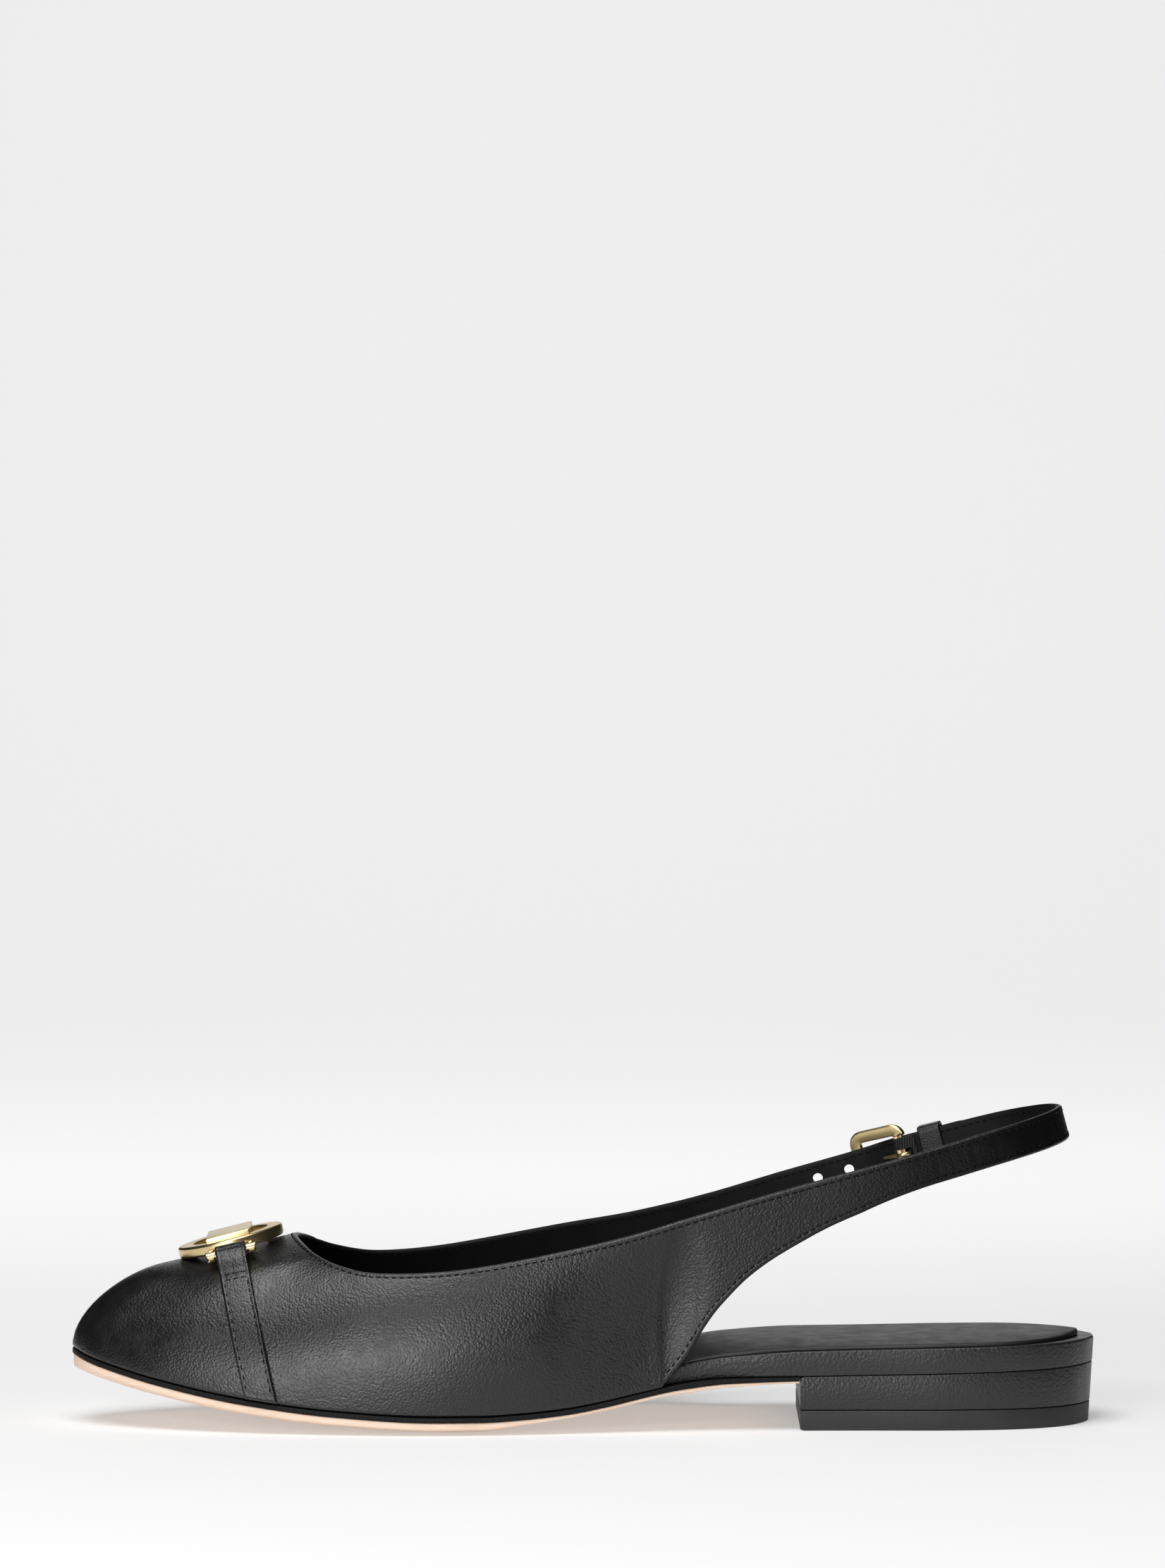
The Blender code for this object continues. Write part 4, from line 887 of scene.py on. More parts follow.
def upperShape(u, v, w):
    i = np.round(u * (len(course) - 1)).astype(int)
    j = np.round(v * (upShares.shape[1] - 1)).astype(int)
    up = upShares[i, j]
    half = course[i, 2] / 2
    fromFoot = up * ribLengths[i] * footTurns[i]
    fromTop = (1 - up) * ribLengths[i] * topTurns[i]
    near = np.minimum(fromFoot, fromTop)
    tipRun = (course[i, 0] - course[0, 0]) * strapScale
    near = np.minimum(near, tipRun + 0.02 * mm)
    endRun = (len(course) - 1 - i) * 0.3 * mm
    near = np.minimum(near, endRun)
    ease = np.sqrt(np.clip(1 - (1 - np.clip(near / half, 0, 1)) ** 2, 0, 1))
    way = np.where(w < 0.5, 1.0, -1.0)
    spot = courseFlat[i] + courseNormal[i] * (half * ease * way)[:, None]
    track, lift = spot[:, 0] / strapScale, spot[:, 1]
    tipShare = np.clip(tipRun / buckle["tip"], 0, 1)
    narrowing = np.sqrt(np.maximum(1 - (1 - tipShare) ** 2, 0.16))
    up = 0.5 + (up - 0.5) * narrowing
    points = skin.at(track, up)
    outer = way > 0
    sewnFoot = np.abs(course[i, 0]) > 1.02
    seam = np.where(sewnFoot, near, fromTop) / mm
    puff = 0.07 * np.exp(-((seam - 0.75) / 0.4) ** 2) - 0.05 * np.exp(-((seam - 1.38) / 0.25) ** 2)
    detail = puff * mm * np.where(half > 0.6 * mm, 1, 0.5)
    spread = np.clip((near / mm - 2) / 5, 0, 1)
    waves = np.array([noise.noise(Vector(p) * 38) + 0.5 * noise.noise(Vector(p) * 90)
                      for p in points])
    detail = detail + waves * spread * 0.08 * mm
    detail = np.where(outer, detail + creaseLift(points), creaseLift(points) + waves * spread
                      * 0.08 * mm)
    return points + skin.normal(track, up) * (lift + detail)[:, None]


def onStrap(distance, forward, up, out):
    return strapFrame(distance) @ Vector((forward, up, out))


def strapFrame(distance):  # x forward along the lateral strap, y up and z outwards
    track = -trackAt(distance)
    out = Vector(skin.normal(track, 0.5))
    up = Vector(skin.at(track, 0.9) - skin.at(track, 0.1))
    up = (up - up.project(out)).normalized()
    turn = Matrix((up.cross(out), up, out)).transposed().to_4x4()
    return Matrix.Translation(Vector(skin.at(track, 0.5) - centring)) @ turn


def frontReach():
    return buckle["length"] - buckle["wire"] / 2 - buckle["bar"] / 2


def prongLine():
    start = (prongTurn, barLift)
    end = (frontReach() + buckle["wire"] / 2,
           frontLift + buckle["wire"] / 2 + 3 * shoe["gap"] + buckle["prong"] / 2)
    return start, end


def makeUpper():
    bm = slabMesh((len(course) - 1, upShares.shape[1] - 1), upperShape)
    turned = strapFrame(buckle["place"]).inverted()
    for face in bm.faces:
        centre = face.calc_center_median()
        local = turned @ centre
        onElastic = -buckle["elasticLength"] < local.x < 2 * mm and local.z < 0.1 * mm
        if onElastic and centre.y > 0:
            face.material_index = 3
        onSling = centre.x > shoe["slingStart"]
        if onSling and face.material_index == 0:
            face.material_index = 2
    made = addPiece("upperShell", bm, ("upperLeather", "lining", "strapLeather", "elastic"),
                    "upper", 45)
    for number in (1, 2):
        distance = buckle["place"] - buckle["holeStart"] - number * buckle["pitch"]
        up = float(skin.length(-trackAt(distance))) / 2 - buckle["holeDrop"]
        cut(made, rod(buckle["hole"] / 2, onStrap(distance, 0, up, -4 * mm),
                      onStrap(distance, 0, up, 4 * mm)), "strapHole")
    (x0, z0), (x1, z1) = prongLine()
    ends = [onStrap(buckle["place"], x0 + (x1 - x0) * share, 0, z0 + (z1 - z0) * share)
            for share in (0.2, 0.8)]
    cut(made, rod(buckle["prong"] / 2 + shoe["gap"], *ends), "prongHole")
    reach = 2 * (buckle["bar"] / 2 + buckle["fold"] + 3 * shoe["gap"])
    spot = strapFrame(buckle["place"]) @ Matrix.Translation((0, 0, barLift - shoe["gap"]))
    cut(made, block((reach, buckle["slot"], reach), spot), "foldSlot")
    made.data.shade_smooth()
    made.data.set_sharp_from_angle(angle=math.radians(50))
    return made


upper = makeUpper()
print("upper ready", len(upper.data.polygons))


# stitches

stitch = {"pitch": 1.95 * mm, "length": 1.05 * mm, "width": 0.44 * mm, "height": 0.3 * mm,
          "hole": 0.24 * mm, "holeShadeDepth": 0.10 * mm}


def stitchRow(whole, points, normals, pitch=None):
    # small dark stitches, each with a flat matte black dot at its end, painted shade for the needle
    # hole
    pitch = pitch or stitch["pitch"]
    line = Path(points)
    count = max(int(line.length / pitch), 1)
    for number in range(count):
        share = (number + 0.5) / count
        spot = line.at(share)
        ahead = line.at(min(share + 0.3 / count, 1)) - line.at(max(share - 0.3 / count, 0))
        normal = np.array([np.interp(share * line.length, line.places, axis)
                           for axis in normals.T])
        x = Vector(ahead).normalized()
        z = Vector(normal)
        z = (z - z.project(x)).normalized()
        y = z.cross(x)
        turn = Matrix((x, y, z)).transposed().to_4x4()
        matrix = Matrix.Translation(Vector(spot)) @ turn
        size = Matrix.Diagonal((stitch["length"] / 2, stitch["width"] / 2,
                                stitch["height"] / 2, 1))
        made = bmesh.ops.create_icosphere(whole, subdivisions=2, radius=1, matrix=matrix @ size)
        for vert in made["verts"]:
            for face in vert.link_faces:
                face.material_index = 0
        # the needle hole is a flat black dot of painted shade at the stitch's end
        hole = Matrix.Translation((stitch["length"] / 2, 0, 0))
        size = Matrix.Diagonal((stitch["hole"], stitch["hole"] * 0.9, stitch["holeShadeDepth"], 1))
        made = bmesh.ops.create_icosphere(whole, subdivisions=1, radius=1,
                                          matrix=matrix @ hole @ size)
        for vert in made["verts"]:
            for face in vert.link_faces:
                face.material_index = 1


def upperSeam(start, end, fromTop, inset, inner=False):
    # a line on the upper between two columns, at a distance from one edge
    i = np.arange(start, end)
    turns = (topTurns if fromTop else footTurns)[i]
    share = inset / turns / ribLengths[i]
    up = 1 - share if fromTop else share
    way = -1 if inner else 1
    half = course[i, 2] / 2
    spot = courseFlat[i] + courseNormal[i] * (half * way)[:, None]
    track, lift = spot[:, 0] / strapScale, spot[:, 1]
    sink = -0.02 * mm * way
    points = skin.at(track, up, lift + sink) - centring
    return points, skin.normal(track, up) * way


def columnAt(track):
    return int(np.argmin(np.abs(course[:, 0] - track) + 100 * (np.arange(len(course))
                                                               > len(course) - 48)))


def makeUpperStitches():
    whole = bmesh.new()
    first = 9
    last = len(course) - 34
    corner = {side: columnAt(side) for side in (-1, 1)}
    stitchRow(whole, *upperSeam(first, last, True, 1.38 * mm))
    stitchRow(whole, *upperSeam(first, corner[-1] - 1, False, 1.38 * mm))
    stitchRow(whole, *upperSeam(corner[1] + 2, last, False, 1.38 * mm))
    stitchRow(whole, *upperSeam(first, last, True, 1.38 * mm, inner=True))
    stitchRow(whole, *upperSeam(first, corner[-1] - 1, False, 1.38 * mm, inner=True))
    stitchRow(whole, *upperSeam(corner[1] + 2, last, False, 1.38 * mm, inner=True))
    return addPiece("upperStitches", whole, ("thread", "needleHoleShade"), "upper",
                    80)


upperStitches = makeUpperStitches()
print("stitches ready", len(upperStitches.data.polygons))


# sole, platform, sock and heel

def heelTaper(d, y, z):
    drop = np.maximum(0.0, sole["taperHeight"] - z) / sole["taperHeight"]
    centre = shoe["length"] - shoe["seat"] / 2
    back = np.maximum(0.0, (d - centre) / (shoe["length"] - centre))
    return (d - sole["taper"] * drop * back,
            y * (1 - 2 * sole["taper"] / shoe["seat"] * drop))


def easeBetween(low, high, start, end):
    def at(d):
        share = np.clip((np.asarray(d) - start) / (end - start), 0, 1)
        return low + (high - low) * share * share * (3 - 2 * share)
    return at


def crossRows(count, margin):  # shares across with close rows near both edges
    fine = np.array([0, 0.06, 0.18, 0.36, 0.6, 1.0]) * margin
    inner = np.linspace(fine[-1], 1 - fine[-1], count + 2)[1:-1]
    return np.concatenate([fine, inner, 1 - fine[::-1]])


def layerPiece(name, node, finish, outline, span, bottom, top, radii, along=200,
               across=16, taper=False, heel=False):
    # a layer between two heights, with its upper and lower edges rounded off
    first, last = span
    rows = crossRows(across, 0.02)
    turnEnd = last >= outline.last

    def shape(u, v, w):
        j = np.round(v * (len(rows) - 1)).astype(int)
        share = rows[j]
        if heel:
            run = np.sin(math.pi * u / 2)
        else:
            run = (1 - np.cos(math.pi * u)) / 2 if turnEnd else 1 - np.cos(math.pi * u / 2)
        d = first + (last - first) * run
        low, high = outline.edge(medial, d), outline.edge(lateral, d)
        y = low + (high - low) * share
        z = np.where(w > 0.5, top(d, share), bottom(d, share))
        aside = np.minimum(share, 1 - share) * (high - low)
        if heel:
            ends = np.minimum(last - d, d - first)
        else:
            ends = d - first
            if turnEnd:
                ends = np.minimum(ends, last - d)
        near = np.minimum(aside, ends)
        for level, sign, radius in ((1, -1, radii[0]), (0, 1, radii[1])):
            reach = np.clip(1 - near / radius, 0, 1)
            off = radius * (1 - np.sqrt(np.clip(1 - reach ** 2, 0, 1)))
            z = np.where(w > 0.5 if level else w < 0.5, z + sign * off, z)
        if taper:
            d, y = heelTaper(d, y, z)
        return np.column_stack([d, y, z])
    bm = slabMesh((along, len(rows) - 1), shape)
    for face in bm.faces:
        face.material_index = 0
    return addPiece(name, bm, (finish,), node, 60)


def makeSole():
    breast = shoe["length"] - sole["heelLength"]
    gap = shoe["gap"]
    full = Outline(lambda d: 0.0 * d)
    tread = Outline(lambda d: sole["margin"] + 0.0 * d)
    tuck = shoe["wall"] + 2 * gap

    def treadBottom(d, v):
        edge = np.abs(2 * v - 1) ** 7
        return soleBottom(d) + edge * 0.5 * (soleTop(d) - soleBottom(d))
    layerPiece("outsoleLeather", "outsole", "tanLeather", tread,
               (tread.first, breast - gap), treadBottom, lambda d, v: soleTop(d),
               (0.25 * mm, 0.35 * mm), 220, 30)
    layerPiece("randStrip", "rand", "randEdge", full, (full.first, breast - gap),
               lambda d, v: soleTop(d) + gap * 0.4, lambda d, v: randTop(d) + gap * 0.3,
               (0.2 * mm, 0.12 * mm), 260, 8)
    bed = Outline(easeBetween(tuck, 0.0, shoe["quarterEnd"] + 5 * mm,
                              shoe["quarterEnd"] + 30 * mm))
    layerPiece("platformWrap", "platform", "wrapped", bed,
               (bed.first, bed.last), lambda d, v: feather(d), lambda d, v: bedTop(d),
               (0.7 * mm, 0.3 * mm), 240, 14, taper=True)

    sideInset = easeBetween(tuck + 4 * gap, sole["sockMargin"], shoe["quarterEnd"],
                            shoe["quarterEnd"] + 25 * mm)
    backInset = easeBetween(0.0, sole["sockSetback"] - sole["sockMargin"],
                            shoe["length"] - 25 * mm, shoe["length"])
    cover = Outline(lambda d: sideInset(d) + backInset(d))

    def sockTop(d, v):
        crown = np.maximum(0.0, 1 - (2 * v - 1) ** 4)
        return bedTop(d) + gap + (sole["sock"] + sole["crown"] * crown) * 0.6
    sock = layerPiece("sockPad", "sock", "sockLeather", cover,
                      (cover.first, cover.last), lambda d, v: bedTop(d) + 0.05 * mm, sockTop,
                      (0.5 * mm, 0.1 * mm), 240, 30)

    layerPiece("heelBlock", "heel", "wrapped", full, (breast, full.last),
               lambda d, v: sole["lift"] + 0.0 * d, lambda d, v: feather(d) - gap * 0.5,
               (0.35 * mm, 0.3 * mm), 120, 16, taper=True, heel=True)
    layerPiece("topLift", "top_lift", "liftRubber", full, (breast, full.last),
               lambda d, v: 0.0 * d, lambda d, v: sole["lift"] - gap * 0.6 + 0.0 * d,
               (0.25 * mm, 0.4 * mm), 120, 16, taper=True, heel=True)


makeSole()
print("sole ready")


# ornament

slopeAngle = math.atan(shoe["vampSlope"])
slopeAxis = np.array([math.cos(slopeAngle), 0, math.sin(slopeAngle)])


def ridgeAt(setback):
    ups = np.linspace(0.2, 1, 400)
    points = skin.at(np.zeros_like(ups), ups)
    return points[np.argmin(np.abs(points[:, 0] - setback))]


def ringMatrix():  # x down the vamp's slope towards the throat, z off the vamp
    point = ridgeAt(ornament["setback"])
    turn = Matrix.Rotation(-slopeAngle - ornament["tilt"], 4, "Y")
    lift = ornament["stand"] + shoe["gap"] + ornament["thickness"] / 2
    spot = Vector((point[0] - shoe["length"] / 2, 0, point[2]))
    return Matrix.Translation(spot) @ turn @ Matrix.Translation((0, 0, lift))


def pinReach():
    return (ornament["ring"] / 2 + ornament["pin"] / 2 + shoe["gap"]
            + ornament["strapThickness"])


def makeOrnament():
    matrix = ringMatrix()
    radius = ornament["ring"] / 2 - ornament["band"] / 2
    angles = np.linspace(0, 2 * math.pi, 144, endpoint=False)
    deeper = ornament["wallExtra"]
    ring = [(radius * math.cos(a), radius * math.sin(a), -deeper / 2) for a in angles]
    ups = [(0, 0, 1)] * len(ring)
    profile = roundedBox(ornament["thickness"] + deeper, ornament["band"], 0.7 * mm, 6)
    parts = [sweepMesh(ring, ups, profile)]
    top = ornament["thickness"] / 2 + ornament["plaqueRise"]
    thick = ornament["plaqueThickness"]
    parts.append(block((ornament["plaqueLength"], ornament["plaqueWidth"], thick),
                       Matrix.Translation((0, 0, top - thick / 2)), 0.32 * mm, 4))
    gap = ornament["strapWidth"] / 2 + 1.5 * shoe["gap"]
    for side in (medial, lateral):
        for way in (-1, 1):
            x = -ornament["lugShift"] + way * (gap + ornament["lugWidth"] / 2)
            y = side * (ornament["ring"] / 2 - ornament["lugOverlap"]
                        + ornament["lugDepth"] / 2)
            neck = Matrix.Translation((x, y - side * 0.8 * mm, -1.2 * mm))
            parts.append(block((1.25 * mm, 3.4 * mm, 1.9 * mm), neck, 0.35 * mm, 4))
            knob = rod(1.3 * mm, (x - 0.95 * mm, side * pinReach(), -ornament["pinDrop"]),
                       (x + 0.95 * mm, side * pinReach(), -ornament["pinDrop"]), 28)
            bmesh.ops.bevel(knob, geom=[edge for edge in knob.edges
                                        if len(edge.link_faces) == 2
                                        and edge.calc_face_angle() > 1],
                            offset=0.4 * mm, offset_type="OFFSET", segments=4, profile=0.5,
                            affect="EDGES", material=-1)
            parts.append(knob)
        ends = [(-ornament["lugShift"] + way * (gap + 1 * mm), side * pinReach(),
                 -ornament["pinDrop"]) for way in (-1, 1)]
        parts.append(rod(ornament["pin"] / 2, *ends, 24))
    whole = joined(parts)
    whole.transform(matrix)
    return addPiece("ringOrnament", whole, ("goldPlate",), "ornament", 35)


makeOrnament()
print("ornament ready")


# vamp straps

def trackOnSlope(side, up, target):
    tracks = -side * np.linspace(0.02, 1.0, 600)
    slope = skin.at(tracks, np.full_like(tracks, up)) @ slopeAxis
    return float(np.interp(target, slope, tracks))


class StrapLine:  # one line of a vamp strap, up the skin at a place on the slope
    def __init__(self, side, target, pin):
        self.side, self.target = side, target
        self.ups = np.linspace(0.0, ornament["ridgeShare"], 60)
        self.tracks = np.array([trackOnSlope(side, up, target) for up in self.ups])
        line = skin.at(self.tracks, self.ups)
        steps = np.linalg.norm(np.diff(line, axis=0), axis=1)
        self.lengths = np.concatenate([[0], np.cumsum(steps)])
        self.pin = pin + slopeAxis * (target - float(pin @ slopeAxis))
        apart = np.linalg.norm(line - self.pin, axis=1)
        best = int(np.argmin(apart))
        spans = slice(max(best - 1, 0), best + 2)
        fine = np.linspace(self.lengths[spans][0], self.lengths[spans][-1], 60)
        points = np.stack([np.interp(fine, self.lengths, axis) for axis in line.T], axis=1)
        apart = np.linalg.norm(points - self.pin, axis=1)
        self.pinPlace = float(fine[np.argmin(apart)])
        self.pinLift = float(apart.min())

    def follow(self, distance):
        up = np.interp(distance, self.lengths, self.ups)
        track = np.interp(distance, self.lengths, self.tracks)
        normal = skin.normal(track, up)
        normal = normal - slopeAxis * (normal @ slopeAxis)
        return skin.at(track, up), normal / np.linalg.norm(normal)

    def at(self, distance, lift):
        point, normal = self.follow(distance)
        bent = point + normal * lift
        near = float(np.clip((distance - self.pinPlace) / ornament["ease"] + 2, 0, 1))
        if near == 0:
            return bent
        near = near * near * (3 - 2 * near)
        normal = (self.pin - self.follow(self.pinPlace)[0]) / self.pinLift
        along = np.cross(slopeAxis, normal) * self.side
        flat = self.pin + along * (distance - self.pinPlace) + normal * (lift - self.pinLift)
        return bent + (flat - bent) * near


strapEdges = np.array([0, 0.06, 0.18, 0.36, 0.6, 0.92, 1.2]) * mm


def makeVampStrap(name, node, side):
    pin = ringMatrix() @ Vector((-ornament["lugShift"], side * pinReach(),
                                 -ornament["pinDrop"]))
    pin = np.array(pin) + centring
    centre = float(pin @ slopeAxis)
    middle = StrapLine(side, centre, pin)
    thick, gap, fold = ornament["strapThickness"], shoe["gap"], ornament["fold"]
    low = gap * 0.8 + thick / 2
    radius = ornament["pin"] / 2 + 1.7 * gap + thick / 2
    width = ornament["strapWidth"]
    rows = [(distance, low) for distance in np.linspace(gap, middle.pinPlace - fold - 7 * mm, 60)]
    double = low + thick * 0.45
    ends = (rows[-1][0], low), (middle.pinPlace - fold, double)
    for share in np.linspace(0, 1, 15)[1:]:
        ease = share * share * (3 - 2 * share)
        rows.append((ends[0][0] + (ends[1][0] - ends[0][0]) * share,
                     low + (double - low) * ease))
    turn = math.radians(-35)
    start = (middle.pinPlace + radius * math.sin(turn), middle.pinLift + radius * math.cos(turn))
    for share in np.linspace(0, 1, 12)[1:-1]:
        ease = share * share * (3 - 2 * share)
        rows.append((ends[1][0] + (start[0] - ends[1][0]) * share,
                     double + (start[1] - double) * ease))
    for angle in np.radians(np.linspace(-35, 170, 24)):
        rows.append((middle.pinPlace + radius * math.sin(angle),
                     middle.pinLift + radius * math.cos(angle)))
    final = rows[-1]
    for share in np.linspace(0, 1, 8)[1:]:
        rows.append((final[0] + (middle.pinPlace - fold + 1.5 * mm - final[0]) * share,
                     final[1] + (low - final[1]) * min(2 * share, 1)))
    rows = np.array(rows)
    tangent = np.gradient(rows, axis=0)
    tangent /= np.linalg.norm(tangent, axis=1)[:, None]
    normal = np.stack([-tangent[:, 1], tangent[:, 0]], axis=1)
    inner = np.linspace(strapEdges[-1] / width, 1 - strapEdges[-1] / width, 9)[1:-1]
    across = np.concatenate([strapEdges / width, inner, 1 - strapEdges[::-1] / width])
    lines = [StrapLine(side, centre + (share - 0.5) * (width + ornament["strapSpread"] * 0.5),
                       pin) for share in across]

    def spot(i, j, way, extra=0.0):
        distance, lift = rows[i]
        near = min(across[j], 1 - across[j]) * width
        near = min(near, (i + 0.02) * 0.3 * mm, (len(rows) - 1 - i + 0.02) * 0.3 * mm)
        half = thick / 2
        ease = math.sqrt(max(1 - (1 - min(near / half, 1)) ** 2, 0))
        distance, lift = rows[i] + normal[i] * (half * ease * way + extra)
        if way > 0:
            lift += (0.08 * math.exp(-((near / mm - 0.45) / 0.3) ** 2)
                     - 0.04 * math.exp(-((near / mm - 0.92) / 0.2) ** 2)) * mm
        line = lines[j]
        up = min(distance / middle.pinPlace, 1)
        beyond = max(distance - middle.pinPlace, 0)
        return line.at(up * line.pinPlace + beyond,
                       lift + (line.pinLift - middle.pinLift) * up ** 4)

    def shape(u, v, w):
        i = np.round(u * (len(rows) - 1)).astype(int)
        j = np.round(v * (len(across) - 1)).astype(int)
        return np.array([spot(a, b, 1 if c < 0.5 else -1) for a, b, c in zip(i, j, w)])
    bm = slabMesh((len(rows) - 1, len(across) - 1), shape)
    addPiece(name, bm, ("strapLeather", "lining"), node, 50)

    whole = bmesh.new()
    stitched = slice(4, 69)
    for j in (5, len(across) - 6):
        points = np.array([spot(i, j, 1, -0.03 * mm) for i in range(*stitched.indices(999))])
        beside = np.array([spot(i, j, 1, 0.4 * mm) for i in range(*stitched.indices(999))])
        stitchRow(whole, points - centring, beside - points, 2.3 * mm)
    for i in (69, 72):
        points = np.array([spot(i, j, 1, -0.02 * mm) for j in range(5, len(across) - 5)])
        beside = np.array([spot(i, j, 1, 0.4 * mm) for j in range(5, len(across) - 5)])
        stitchRow(whole, points - centring, beside - points, 1.9 * mm)
    addPiece(name + "Stitches", whole, ("thread", "needleHoleShade"), node, 80)


makeVampStrap("vampStrapMedial", "vamp_strap_medial", medial)
makeVampStrap("vampStrapLateral", "vamp_strap_lateral", lateral)
print("vamp straps ready")


# buckle and keeper

def makeBuckle():
    rear = onStrap(buckle["place"], 0, 0, barLift)
    front = onStrap(buckle["place"], frontReach(), 0, frontLift)
    up = strapFrame(buckle["place"]).to_3x3() @ Vector((0, 1, 0))
    forward = (front - rear).normalized()
    length = (front - rear).length
    half = (shoe["strapWidth"] / 2 + buckle["room"] + buckle["wire"]
            - (buckle["barWidth"] - 0.2 * mm) / 2)
    outwards = forward.cross(up)
    bars = roundedBox(length, 2 * half, buckle["wire"], 8)
    ring = Path(np.array(bars + bars[:1]))
    flat = ring.at(np.linspace(0, 1, 180, endpoint=False))
    centre = rear + forward * (length / 2)
    points = [centre + forward * x + up * y for x, y in flat]
    whole = sweepMesh([tuple(point) for point in points], [tuple(outwards)] * len(points),
                      roundedBox(1.6 * mm, buckle["barWidth"], 0.5 * mm, 5))
    for vert in whole.verts:  # the rear bar is a thin round pin where the strap turns on it
        offset = vert.co - centre
        x, y = offset.dot(forward), offset.dot(up)
        if x < -length / 2 + 1.2 * mm and abs(y) < half - 1.6 * mm:
            core = centre - forward * (length / 2) + up * y
            vert.co = core + (vert.co - core) * 0.48
    addPiece("buckleFrame", whole, ("goldPlate",), "buckle_frame", 40)

    (x0, z0), (x1, z1) = prongLine()
    line = []
    for angle in np.radians(np.linspace(150, 360, 14)):
        line.append((prongTurn * math.cos(angle), barLift + prongTurn * math.sin(angle)))
    line += [(x0 + (x1 - x0) * share, z0 + (z1 - z0) * share) for share in (0.12, 0.5, 1.0)]
    points = [tuple(onStrap(buckle["place"], x, 0, z)) for x, z in line]
    addPiece("bucklePin", tubeMesh(points, [buckle["prong"] / 2] * 4), ("goldPlate",),
             "buckle_prong", 60)


def makeKeeper():
    matrix = strapFrame(buckle["keeperPlace"])
    low = -shoe["wall"] - buckle["keeperRoom"]
    high = buckle["lift"] + buckle["keeperRoom"]
    wall = buckle["keeperWall"]
    height = shoe["strapWidth"] + 2 * buckle["keeperRoom"] + wall
    depth = high - low + wall
    loop = roundedBox(height, depth, 1.0 * mm, 8)
    ring = Path(np.array(loop + loop[:1])).at(np.linspace(0, 1, 110, endpoint=False))
    course = [(0, x, y) for x, y in ring]
    profile = roundedBox(buckle["keeperLength"], wall, 0.4 * mm, 6)
    bm = sweepMesh(course, [(1, 0, 0)] * len(course), profile)
    bm.transform(matrix @ Matrix.Translation((0, 0, (low + high) / 2)))
    addPiece("keeperLoop", bm, ("keeperLeather",), "strap_keeper", 60)


makeBuckle()
makeKeeper()
print("buckle ready")


# floor, light and camera

studio = {
    "front": -1.2, "run": 5.2, "half": 0.55, "narrow": 0.3, "bendStart": 1.4, "bendRadius": 0.9,
    "lights": (
        # name, place, size, power
        ("softBox", (-0.2, -0.55, 1.42), 1.2, 22),
        ("frontBox", (-0.5, -1.5, 0.25), 0.9, 16),
    ),
    "glow": {"From Min": 0.05, "From Max": 0.75, "To Min": 0.3, "To Max": 0.6},
    "world": 0.012, "backdrop": 0.91,
}


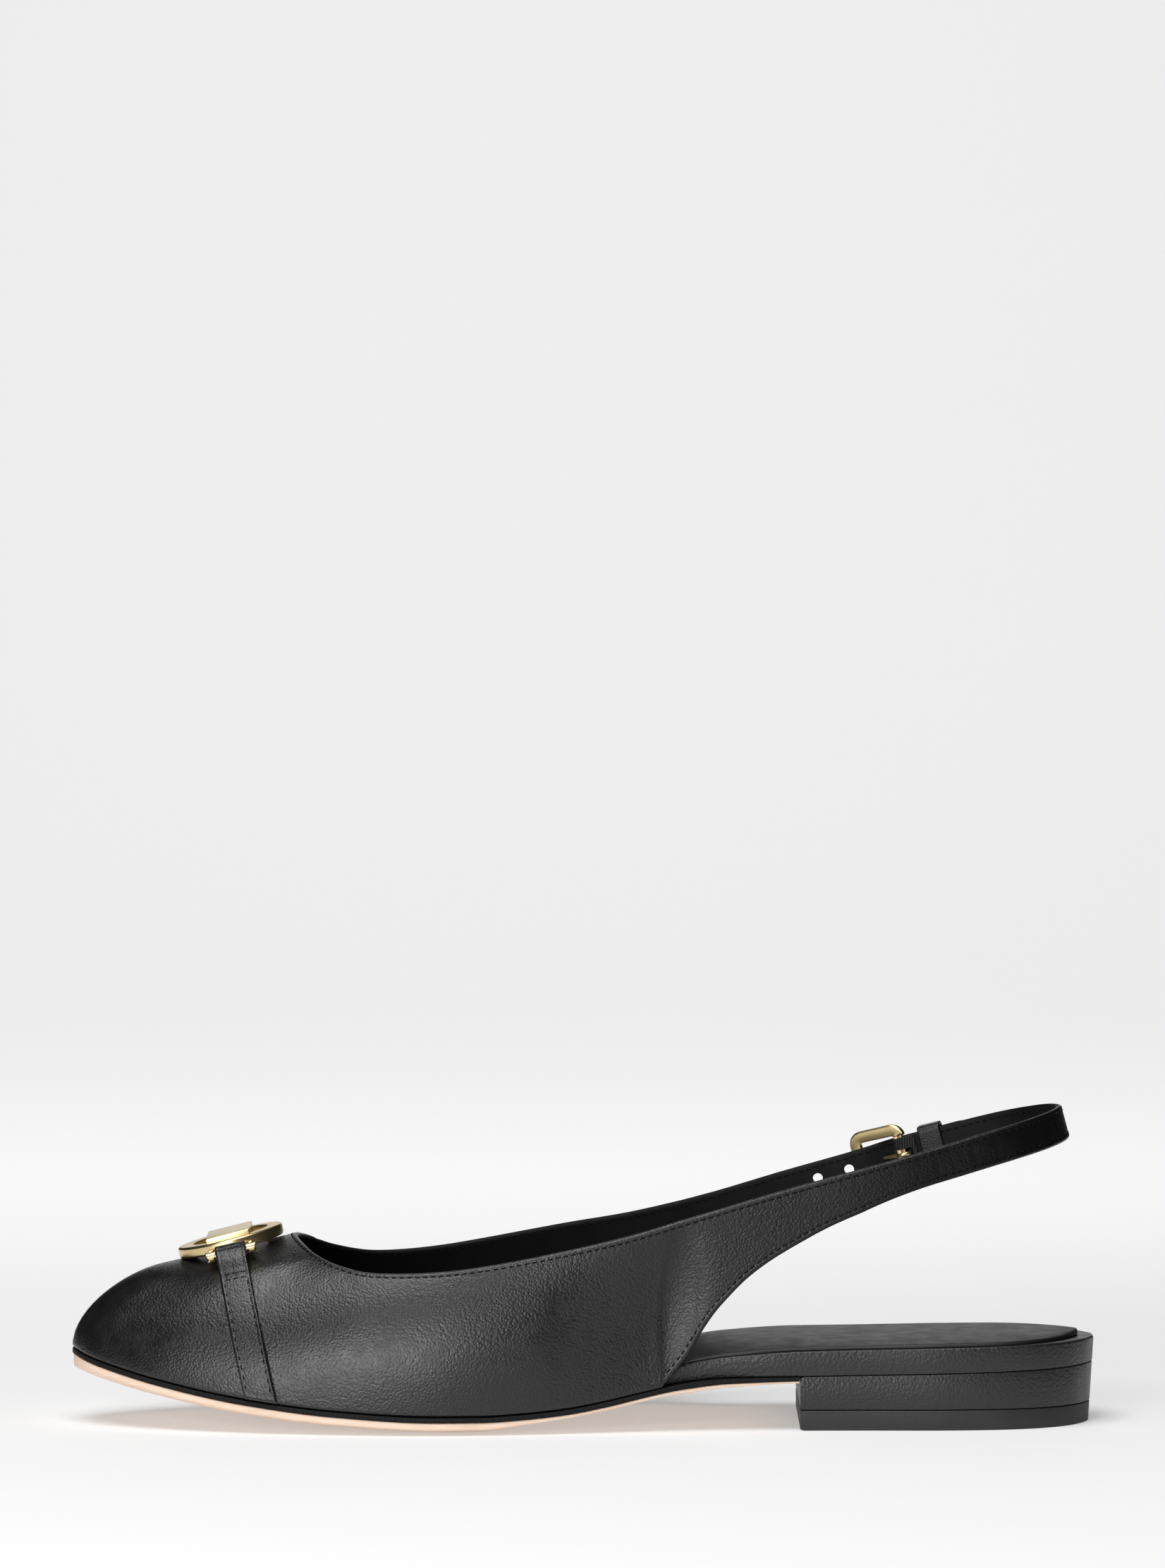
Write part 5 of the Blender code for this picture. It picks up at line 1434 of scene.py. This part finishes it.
def makeStage():
    radius = studio["bendRadius"]
    bm = bmesh.new()
    bmesh.ops.create_grid(bm, x_segments=2, y_segments=40, size=1)
    for vert in bm.verts:
        run = studio["front"] + (vert.co.y + 1) / 2 * studio["run"]
        bend = max(run - studio["bendStart"], 0)
        right = studio["half"] if run > 0.2 else studio["narrow"]  # spares the sling its glare
        angle = min(bend / radius, math.pi / 2)
        vert.co = (-studio["half"] + (vert.co.x + 1) / 2 * (studio["half"] + right),
                   min(run, studio["bendStart"]) + radius * math.sin(angle),
                   radius * (1 - math.cos(angle)) + max(bend - radius * math.pi / 2, 0) * 2.5)
    bmesh.ops.recalc_face_normals(bm, faces=bm.faces)
    mesh = bpy.data.meshes.new("studioFloor")
    bm.to_mesh(mesh)
    bm.free()
    mesh.shade_smooth()
    floor = bpy.data.objects.new("studioFloor", mesh)
    bpy.context.scene.collection.objects.link(floor)
    paper = bpy.data.materials.new("paper")
    paper.use_nodes = True
    shader = paper.node_tree.nodes["Principled BSDF"]
    shader.inputs["Base Color"].default_value = (0.65, 0.65, 0.65, 1)
    shader.inputs["Roughness"].default_value = 0.9
    shader.inputs["Specular IOR Level"].default_value = 0.1
    shader.inputs["Emission Color"].default_value = (1, 1, 1, 1)
    coords = paper.node_tree.nodes.new("ShaderNodeTexCoord")
    split = paper.node_tree.nodes.new("ShaderNodeSeparateXYZ")
    glow = paper.node_tree.nodes.new("ShaderNodeMapRange")
    glow.interpolation_type = "SMOOTHSTEP"
    for key, value in studio["glow"].items():
        glow.inputs[key].default_value = value
    paper.node_tree.links.new(coords.outputs["Object"], split.inputs[0])
    paper.node_tree.links.new(split.outputs["Y"], glow.inputs["Value"])
    paper.node_tree.links.new(glow.outputs["Result"], shader.inputs["Emission Strength"])
    mesh.materials.append(paper)

    world = bpy.context.scene.world or bpy.data.worlds.new("studio")
    bpy.context.scene.world = world
    world.use_nodes = True
    background = world.node_tree.nodes.get("Background")
    background.inputs[0].default_value = (1, 1, 1, 1)
    paths = world.node_tree.nodes.new("ShaderNodeLightPath")  # pale beyond the floor's edge
    shown = world.node_tree.nodes.new("ShaderNodeMapRange")
    shown.inputs["To Min"].default_value = studio["world"]
    shown.inputs["To Max"].default_value = studio["backdrop"]
    world.node_tree.links.new(paths.outputs["Is Camera Ray"], shown.inputs["Value"])
    world.node_tree.links.new(shown.outputs["Result"], background.inputs[1])
    for name, spot, size, power in studio["lights"]:
        data = bpy.data.lights.new(name, "AREA")
        data.shape = "DISK"
        data.size = size
        data.energy = power
        light = bpy.data.objects.new(name, data)
        light.location = spot
        aim = Vector((0, 0, 0.03)) - Vector(spot)
        light.rotation_euler = aim.to_track_quat("-Z", "Y").to_euler()
        bpy.context.scene.collection.objects.link(light)


view = {"distance": 2.5, "tilt": math.radians(2.9), "aim": (-0.0002, 0, 0.1590),
        "lens": 230.3}


def makeCamera():
    data = bpy.data.cameras.new("photoCamera")
    data.lens = view["lens"]
    data.sensor_width = 36
    data.clip_start = 0.05
    data.dof.use_dof = False
    camera = bpy.data.objects.new("photoCamera", data)
    aim = Vector(view["aim"])
    camera.location = aim + Vector((0, -math.cos(view["tilt"]),
                                    math.sin(view["tilt"]))) * view["distance"]
    camera.rotation_euler = (aim - camera.location).to_track_quat("-Z", "Y").to_euler()
    bpy.context.scene.collection.objects.link(camera)
    bpy.context.scene.camera = camera


makeStage()
makeCamera()
bpy.context.scene.view_settings.view_transform = "Standard"
